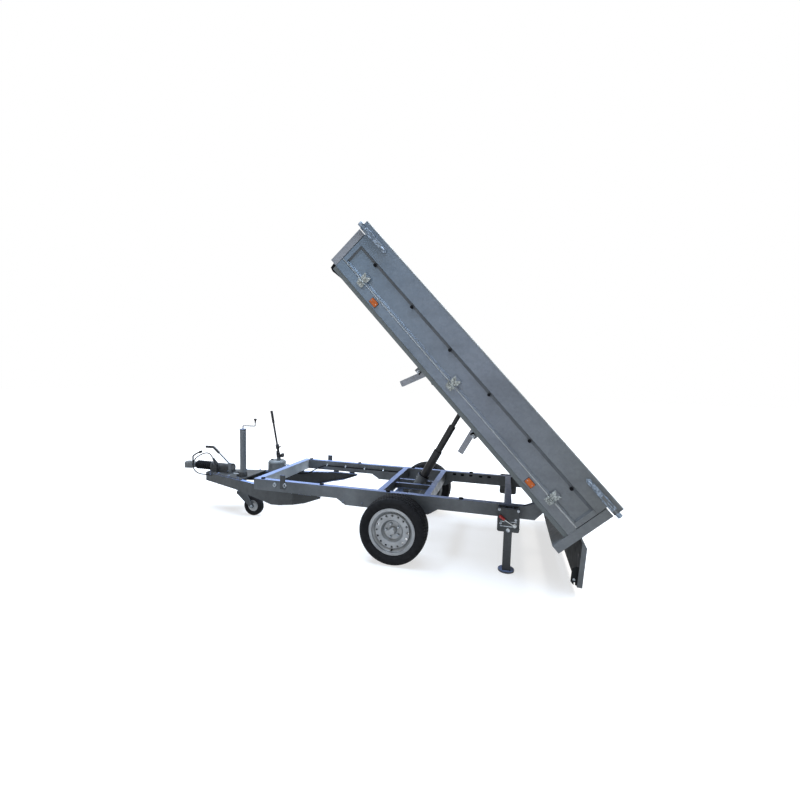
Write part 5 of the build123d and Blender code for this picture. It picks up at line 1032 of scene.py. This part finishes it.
# Over centre latches at both ends of the side walls
LATCH_T = 0.412
LATCH_PIVOT = 0.085
LATCH_ENDS = ((BED_REAR, 1.0, 1.24), (BED_FRONT, -1.0, 1.12))  # end of the bed, way inwards, stretch
LATCH_BASE = ((0.030, -0.019), (0.236, -0.015), (0.250, 0.0), (0.236, 0.015), (0.030, 0.019))  # along, height
LATCH_RIVETS = ((0.042, -0.012), (0.042, 0.012), (0.070, -0.012), (0.070, 0.012))
LEVER_LINE = ((0.090, 0.0185), (0.150, 0.0215), (0.205, 0.0235))  # along, proud of the wall
LEVER_PLATE = ((0.128, 0.0185), (0.210, 0.0225))
LEVER_TIP = ((0.205, 0.0235), (0.222, 0.0265), (0.236, 0.0290))
HOOK_ROD = ((0.098, 0.0155), (0.040, 0.0150), (0.004, 0.0150))
THREAD_COUNT = 9


def add_latch(bm, side, end, way, stretch):
    """One latch, laid out from its end of the bed inwards."""

    def place(along, proud, height=0.0):
        if along > LATCH_PIVOT:
            along = LATCH_PIVOT + (along - LATCH_PIVOT) * stretch
        return on_bed(end + way * along, side * (BED_HALF + proud), LATCH_T + height)

    def add_strip(start, stop, height, extra, width, thickness, rounding):
        run = place(*stop) - place(*start)
        centre = (place(*start, height) + place(*stop, height)) / 2
        add_block(bm, centre, run, run.cross(BED_OFF), (run.length + extra, width, thickness), rounding)

    inward = BED_ALONG * way
    # Base plate with its rivets
    add_plate(bm, [place(along, 0.004, height) for along, height in LATCH_BASE], Y * side, 0.0025)
    for along, height in LATCH_RIVETS:
        add_dome(bm, place(along, 0.0065, height), Y * side, 0.0046, 0.0024)
    # Cheeks and pivot of the lever
    for height in (-0.0165, 0.0165):
        add_block(bm, place(0.100, 0.014, height), inward, BED_OFF, (0.056, 0.018, 0.0030), 0.0008)
    add_bar(bm, place(0.112, 0.014, -0.021), place(0.112, 0.014, 0.021), 0.0042, 16)
    # Lever: two side strips joined by a dished plate, and a rolled tip
    for height in (-0.0120, 0.0120):
        for start, stop in zip(LEVER_LINE, LEVER_LINE[1:]):
            add_strip(start, stop, height, 0.001, 0.0036, 0.0060, 0.0008)
    add_strip(*LEVER_PLATE, 0.0, 0.0, 0.0230, 0.0022, 0.0007)
    add_path(bm, [place(*point) for point in LEVER_TIP], [0.0085, 0.0075, 0.0050])
    # Hook rod with its thread, nut and hook over the end
    add_path(bm, [place(*point) for point in HOOK_ROD], 0.0052)
    for index in range(THREAD_COUNT):
        ring = place(0.050 + 0.0034 * index, 0.0151)
        add_bar(bm, ring - inward * 0.0009, ring + inward * 0.0009, 0.0062, 16)
    add_bar(bm, place(0.038, 0.0150), place(0.048, 0.0150), 0.0100, 6)
    add_block(bm, place(-0.008, 0.0130), inward, BED_OFF, (0.028, 0.018, 0.034), 0.0025)


def build_latches(name, side):
    bm = bmesh.new()
    for end in LATCH_ENDS:
        add_latch(bm, side, *end)
    piece(f"latches_{name}", bm, f"side_{name}", "latch_zinc")


# Field of the side walls: slanted steps along its top and at its ends in painted shade, and the rolled edges in a
# painted highlight
FIELD_BOTTOM = 0.168
FIELD_TOP = 0.312
FIELD_DEPTH = 0.011
FIELD_REAR = BED_REAR + 0.068
FIELD_FRONT = BED_FRONT - 0.060
FIELD_MARGIN = 0.034
STEPS_REAR = FIELD_REAR + FIELD_MARGIN
STEPS_FRONT = FIELD_FRONT - FIELD_MARGIN
STEP_RUN = 0.015
ROLLED_EDGES = (
    # start, end, in from the wall's face, height, radius, sides
    (BED_REAR + 0.001, BED_FRONT - 0.001, 0.0015, 0.4585, 0.0042, 14),
    (BED_REAR + 0.001, BED_FRONT - 0.001, 0.0285, 0.4585, 0.0042, 14),
    (FIELD_REAR, FIELD_FRONT, 0.001, 0.1575, 0.0030, 12),
)


def add_prism(bm, section, start, end):
    """Bar of a flat section, (left, off the floor), between two distances along the bed."""
    add_tube(bm, [[bm.verts.new(on_bed(s, y, t)) for y, t in section] for s in (start, end)])


def build_wall_trim(name, side):
    skin = side * (BED_HALF - 0.0002)
    deep = side * (BED_HALF - FIELD_DEPTH)
    bm = bmesh.new()
    section = ((skin, FIELD_TOP + 0.003), (deep, FIELD_TOP - STEP_RUN), (deep, FIELD_TOP + 0.003))
    add_prism(bm, section, STEPS_REAR, STEPS_FRONT)
    for edge, way in ((STEPS_REAR, 1), (STEPS_FRONT, -1)):
        rows = []
        for height, drop in ((FIELD_BOTTOM + FIELD_DEPTH, 0), (FIELD_TOP, STEP_RUN)):
            foot = (edge + way * STEP_RUN, deep, height - drop)
            places = ((edge, skin, height), foot, (edge, deep, height))
            rows.append([bm.verts.new(on_bed(*place)) for place in places])
        add_tube(bm, rows)
    piece(f"field_steps_{name}", bm, f"side_{name}", "shaded_sheet")
    bm = bmesh.new()
    outer = ((skin, FIELD_BOTTOM), (skin, FIELD_TOP + 0.004))
    section = (*outer, (deep, FIELD_TOP), (deep, FIELD_BOTTOM + FIELD_DEPTH))
    add_prism(bm, section, FIELD_REAR, STEPS_REAR)
    add_prism(bm, section, STEPS_FRONT, FIELD_FRONT)
    piece(f"field_ends_{name}", bm, f"side_{name}", "galvanised_sheet")
    bm = bmesh.new()
    for start, end, inset, height, radius, sides in ROLLED_EDGES:
        y = side * (BED_HALF - inset)
        add_bar(bm, on_bed(start, y, height), on_bed(end, y, height), radius, sides)
    # The rolled edges take the lighter sheet finish: painted highlight.
    piece(f"highlit_rolled_edge_{name}", bm, f"side_{name}", "highlit_sheet")


for label, hand in LEFT_RIGHT:
    build_side_hinges(label, hand)
    build_latches(label, hand)
    build_wall_trim(label, hand)


# Tailgate: pin heads, end flanges, and black discs on its outer face that paint the shade of its holes
GATE_LINE = Vector(joints["tailgate_swing"]["pos_m"])
GATE_TURN = math.radians(176.919)
GATE_IN = Vector((math.cos(GATE_TURN), 0, -math.sin(GATE_TURN)))
GATE_ALONG = Vector((math.sin(GATE_TURN), 0, math.cos(GATE_TURN)))
GATE_HALF = 0.742
GATE_OUTER = -0.003
GATE_INNER = 0.030
GATE_PINS = (-0.600, 0.0, 0.600)
GATE_HOLES = (0.135, 0.265)
GATE_FLANGE = ((GATE_OUTER, 0.019), (GATE_INNER, 0.051), (GATE_INNER, 0.327), (GATE_OUTER, 0.327))


def on_gate(inward, y, along):
    """Place on the hanging gate: through it, to the left, and from its hinge line to its free edge."""
    return GATE_LINE + GATE_IN * inward + Y * y + GATE_ALONG * along


def build_gate():
    heads, flanges, hole_shades, claws = (bmesh.new() for _ in range(4))
    for side in SIDES:
        outward = Y * side
        for place in GATE_PINS:
            foot = GATE_LINE + Y * (place + side * 0.0205)
            add_lathe(heads, foot, outward, [(0.009, 0.0), (0.009, 0.003), (0.006, 0.0045)], 18)
        outline = [on_gate(inward, side * GATE_HALF, along) for inward, along in GATE_FLANGE]
        add_plate(flanges, outline, outward, 0.0008)
        # Painted shade: black discs stand in for the dark holes.
        for along in GATE_HOLES:
            foot = on_gate(GATE_OUTER, side * 0.668, along)
            add_lathe(hole_shades, foot, -GATE_IN, [(0.0125, 0.0), (0.0125, 0.0012)], 24)
        claw = on_gate(GATE_OUTER - 0.019, side * 0.7165, 0.289)
        add_bar(claws, claw - outward * 0.016, claw + outward * 0.002, 0.0062)
        add_lathe(claws, claw, outward, [(0.0095, 0.0), (0.0095, 0.003), (0.007, 0.005)], 24)
    piece("gate_pin_heads", heads, "bed", "bright_zinc")
    piece("gate_end_flanges", flanges, "gate", "galvanised_frame")
    piece("gate_hole_shades", hole_shades, "gate", "black_plastic", "galvanised_sheet")
    piece("gate_claw_pins", claws, "gate", "bright_zinc")


build_gate()


# Electric cable: one smooth curve from its gland to the plug
CABLE_DIAMETER = 0.011
PLUG_RIBS = 10
CABLE_ROUTE = (
    # distance ahead of the axle, distance to the left, height
    (2.172, 0.088, 0.362),
    (2.225, 0.088, 0.362),
    (2.280, 0.085, 0.360),
    (2.335, 0.082, 0.368),
    (2.376, 0.081, 0.394),
    (2.394, 0.080, 0.436),
    (2.388, 0.079, 0.482),
    (2.358, 0.076, 0.524),
    (2.312, 0.071, 0.558),
    (2.262, 0.066, 0.582),
    (2.214, 0.062, 0.588),
    (2.182, 0.060, 0.569),
    (2.156, 0.060, 0.5343333),
)


def build_cable():
    points = [ahead(*place) for place in CABLE_ROUTE]
    curve = bpy.data.curves.new("electric_lead", "CURVE")
    curve.dimensions = "3D"
    curve.bevel_depth = CABLE_DIAMETER / 2
    curve.bevel_resolution = 5
    curve.resolution_u = 16
    curve.use_fill_caps = True
    spline = curve.splines.new("NURBS")
    spline.points.add(len(points) - 1)
    for control, point in zip(spline.points, points):
        control.co = (*point, 1)
    spline.order_u = 3
    spline.use_endpoint_u = True
    curve.materials.append(FINISHES["black_rubber"])
    lead = bpy.data.objects.new("electric_lead", curve)
    bpy.context.scene.collection.objects.link(lead)
    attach(lead, "chassis")
    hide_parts("electric_cable")

    end = points[-1]
    way = (end - points[-2]).normalized()
    side = way.orthogonal().normalized()
    bm = bmesh.new()
    for index in range(5):
        centre = end + way * (0.004 + 0.005 * index)
        add_bar(bm, centre, centre + way * 0.003, 0.0118 - 0.0001 * index, 24)
    for angle in circle(PLUG_RIBS):
        spoke = side * math.cos(angle) + way.cross(side) * math.sin(angle)
        start = end + way * 0.036 + spoke * 0.0136
        add_bar(bm, start, end + way * 0.074 + spoke * 0.0164, 0.0016, 8)
    add_bar(bm, end + way * 0.076, end + way * 0.0815, 0.0180, 28)
    grips = piece("plug_ribs", bm, "chassis", "black_plastic")
    bm = bmesh.new()
    sleeve = [(0.0085, 0.0), (0.0085, 0.008), (0.0072, 0.012), (0.0061, 0.026)]
    add_lathe(bm, points[0], X, sleeve, 24)
    relief = piece("cable_relief", bm, "chassis", "black_rubber")


build_cable()


# Finish and rounded edges of the carried-over nodes
ROUNDED = {"galvanised_frame", "galvanised_sheet", "cast_grey"}
# Finishes put on nodes in place of their slot's finish. The tailgate, drawbar channels, guide plates, jockey fork,
# stand plates and legs and the bridge plate take darker finishes: painted shade. The front crossmember takes a
# lighter zinc, and the mudguard stays and front frame a lighter, bluer sheet: painted light. The side rails and
# rear frame take the bed's sheet with its painted sky light, the rails also with painted shade on their lip. The
# hubs, pump body and crank take their own colours; the overrun housing and coupling handle take a darker cast
# grey.
OWN_AND_PAINTED_LIGHT_FINISHES = {
    "tailgate": "shaded_gate",
    "drawbar_left": "deep_zinc",
    "drawbar_right": "deep_zinc",
    "hub_left": "silver_paint",
    "hub_right": "silver_paint",
    "mudguard_stays": "lilac_sheet",
    "guide_plates": "dark_zinc",
    "jockey_fork": "dark_zinc",
    "stand_plates": "dark_zinc",
    "stand_leg_left": "dark_zinc",
    "stand_leg_right": "dark_zinc",
    "front_crossmember": "pale_zinc",
    "side_rails": "rail_sheet",
    "rear_frame": "galvanised_sheet",
    "front_frame": "lilac_sheet",
    "bridge_plate": "dark_cast",
    "overrun_housing": "dark_cast",
    "coupling_handle": "dark_cast",
    "pump_body": "pump_grey",
    "jockey_crank": "chrome",
}
NO_ROUNDING = {"overrun_housing", "bellows", "side_knobs_left", "side_knobs_right"}
for node_name, node in frame["nodes"].items():
    slot_name = CAD_FINISHES[node_name]
    node.data.materials.clear()
    node.data.materials.append(FINISHES[OWN_AND_PAINTED_LIGHT_FINISHES.get(node_name, slot_name)])
    if slot_name in ROUNDED and node_name not in NO_ROUNDING:
        soften(node)


# Floor, world and lamps
FLOOR_HALF = 30.0
FLOOR_Z = -0.001
FLOOR_GREY = 0.38
FLOOR_LIFT = 0.66
FLOOR_NEAR = 2.2
FLOOR_FAR = 5.0
AMBIENT = 0.30
SKYLIGHT = (0.90, 0.95, 1.0, 1)


def rays_of(tree, *kinds):
    """1 for the rays of these kinds and 0 for all others."""
    rays = add_node(tree, "ShaderNodeLightPath")
    seen = rays.outputs[kinds[0]]
    for kind in kinds[1:]:
        seen = add_node(tree, "ShaderNodeMath", {0: seen, 1: rays.outputs[kind]}, "MAXIMUM").outputs[0]
    return seen


def floor_finish():
    """Grey floor, lifted to white with the distance where it is seen or mirrored."""
    material = bpy.data.materials.new("floor")
    material.use_nodes = True
    tree = material.node_tree
    tree.nodes.clear()
    diffuse = add_node(tree, "ShaderNodeBsdfDiffuse", {"Color": (FLOOR_GREY, FLOOR_GREY, FLOOR_GREY, 1)})
    place = add_node(tree, "ShaderNodeTexCoord").outputs["Object"]
    reach = add_node(tree, "ShaderNodeVectorMath", {0: place}, "LENGTH").outputs["Value"]
    limits = {"From Min": FLOOR_NEAR, "From Max": FLOOR_FAR, "To Min": FLOOR_LIFT, "To Max": 1.0}
    fade = add_node(tree, "ShaderNodeMapRange", {"Value": reach, **limits}).outputs["Result"]
    seen = rays_of(tree, "Is Camera Ray", "Is Glossy Ray")
    lift = add_node(tree, "ShaderNodeMath", {0: seen, 1: fade}, "MULTIPLY").outputs[0]
    glow = add_node(tree, "ShaderNodeEmission", {"Strength": lift})
    both = add_node(tree, "ShaderNodeAddShader", {0: diffuse.outputs[0], 1: glow.outputs[0]})
    add_node(tree, "ShaderNodeOutputMaterial", {"Surface": both.outputs[0]})
    return material


def build_floor():
    bm = bmesh.new()
    corners = [(-1, -1), (1, -1), (1, 1), (-1, 1)]
    bm.faces.new([bm.verts.new((x * FLOOR_HALF, y * FLOOR_HALF, FLOOR_Z)) for x, y in corners])
    mesh = bpy.data.meshes.new("floor")
    bm.to_mesh(mesh)
    bm.free()
    floor = bpy.data.objects.new("floor", mesh)
    bpy.context.scene.collection.objects.link(floor)
    mesh.materials.append(floor_finish())


def build_world():
    world = bpy.data.worlds.new("studio")
    bpy.context.scene.world = world
    world.use_nodes = True
    tree = world.node_tree
    tree.nodes.clear()
    ambient = add_node(tree, "ShaderNodeBackground", {"Color": SKYLIGHT, "Strength": AMBIENT})
    white = add_node(tree, "ShaderNodeBackground", {"Color": (1, 1, 1, 1), "Strength": 1.0})
    seen = rays_of(tree, "Is Camera Ray", "Is Glossy Ray", "Is Transmission Ray")
    mix = add_node(tree, "ShaderNodeMixShader", {0: seen, 1: ambient.outputs[0], 2: white.outputs[0]})
    add_node(tree, "ShaderNodeOutputWorld", {"Surface": mix.outputs[0]})


def add_lamp(name, place, target, size, power, colour):
    lamp = bpy.data.lights.new(name, "AREA")
    lamp.shape = "SQUARE"
    lamp.size = size
    lamp.energy = power
    lamp.color = colour
    obj = bpy.data.objects.new(name, lamp)
    bpy.context.scene.collection.objects.link(obj)
    obj.location = place
    obj.rotation_mode = "QUATERNION"
    obj.rotation_quaternion = (Vector(target) - Vector(place)).to_track_quat("-Z", "Y")


build_floor()
build_world()
add_lamp("sun", (-6.5, -2.2, 7.5), (0.0, 0.0, 0.6), 2.2, 900.0, (1.0, 0.97, 0.92))
add_lamp("sky", (0.0, -0.5, 6.5), (0.0, -0.3, 0.0), 6.0, 1500.0, (0.66, 0.80, 1.0))
add_lamp("fill", (2.0, 8.0, 2.6), (-0.3, 0.0, 0.9), 5.0, 130.0, (0.96, 0.98, 1.0))

# Camera: place, direction and lens worked out from the photo
CAMERA_PLACE = (-1.297, 3.4843, 1.4235)
CAMERA_YAW = 0.2553
CAMERA_PITCH = -0.0825
CAMERA_ROLL = 0.0269
FOCAL_PIXELS = 391.685
IMAGE_PIXELS = 800.0
CENTRE_PIXEL = (403.50, 410.82)
SENSOR = 36.0

forward = Vector((
    math.sin(CAMERA_YAW) * math.cos(CAMERA_PITCH),
    -math.cos(CAMERA_YAW) * math.cos(CAMERA_PITCH),
    math.sin(CAMERA_PITCH),
))
level = Vector((-math.cos(CAMERA_YAW), -math.sin(CAMERA_YAW), 0))
upright = level.cross(forward)
right = level * math.cos(CAMERA_ROLL) + upright * math.sin(CAMERA_ROLL)
above = upright * math.cos(CAMERA_ROLL) - level * math.sin(CAMERA_ROLL)
camera_data = bpy.data.cameras.new("camera")
camera = bpy.data.objects.new("camera", camera_data)
bpy.context.scene.collection.objects.link(camera)
turn = Matrix((right, above, -forward)).transposed().to_4x4()
camera.matrix_world = Matrix.Translation(CAMERA_PLACE) @ turn
camera_data.sensor_width = SENSOR
camera_data.lens = SENSOR * FOCAL_PIXELS / IMAGE_PIXELS
camera_data.shift_x = (IMAGE_PIXELS / 2 - CENTRE_PIXEL[0]) / IMAGE_PIXELS
camera_data.shift_y = (CENTRE_PIXEL[1] - IMAGE_PIXELS / 2) / IMAGE_PIXELS
bpy.context.scene.camera = camera
bpy.context.scene.view_settings.view_transform = "Standard"
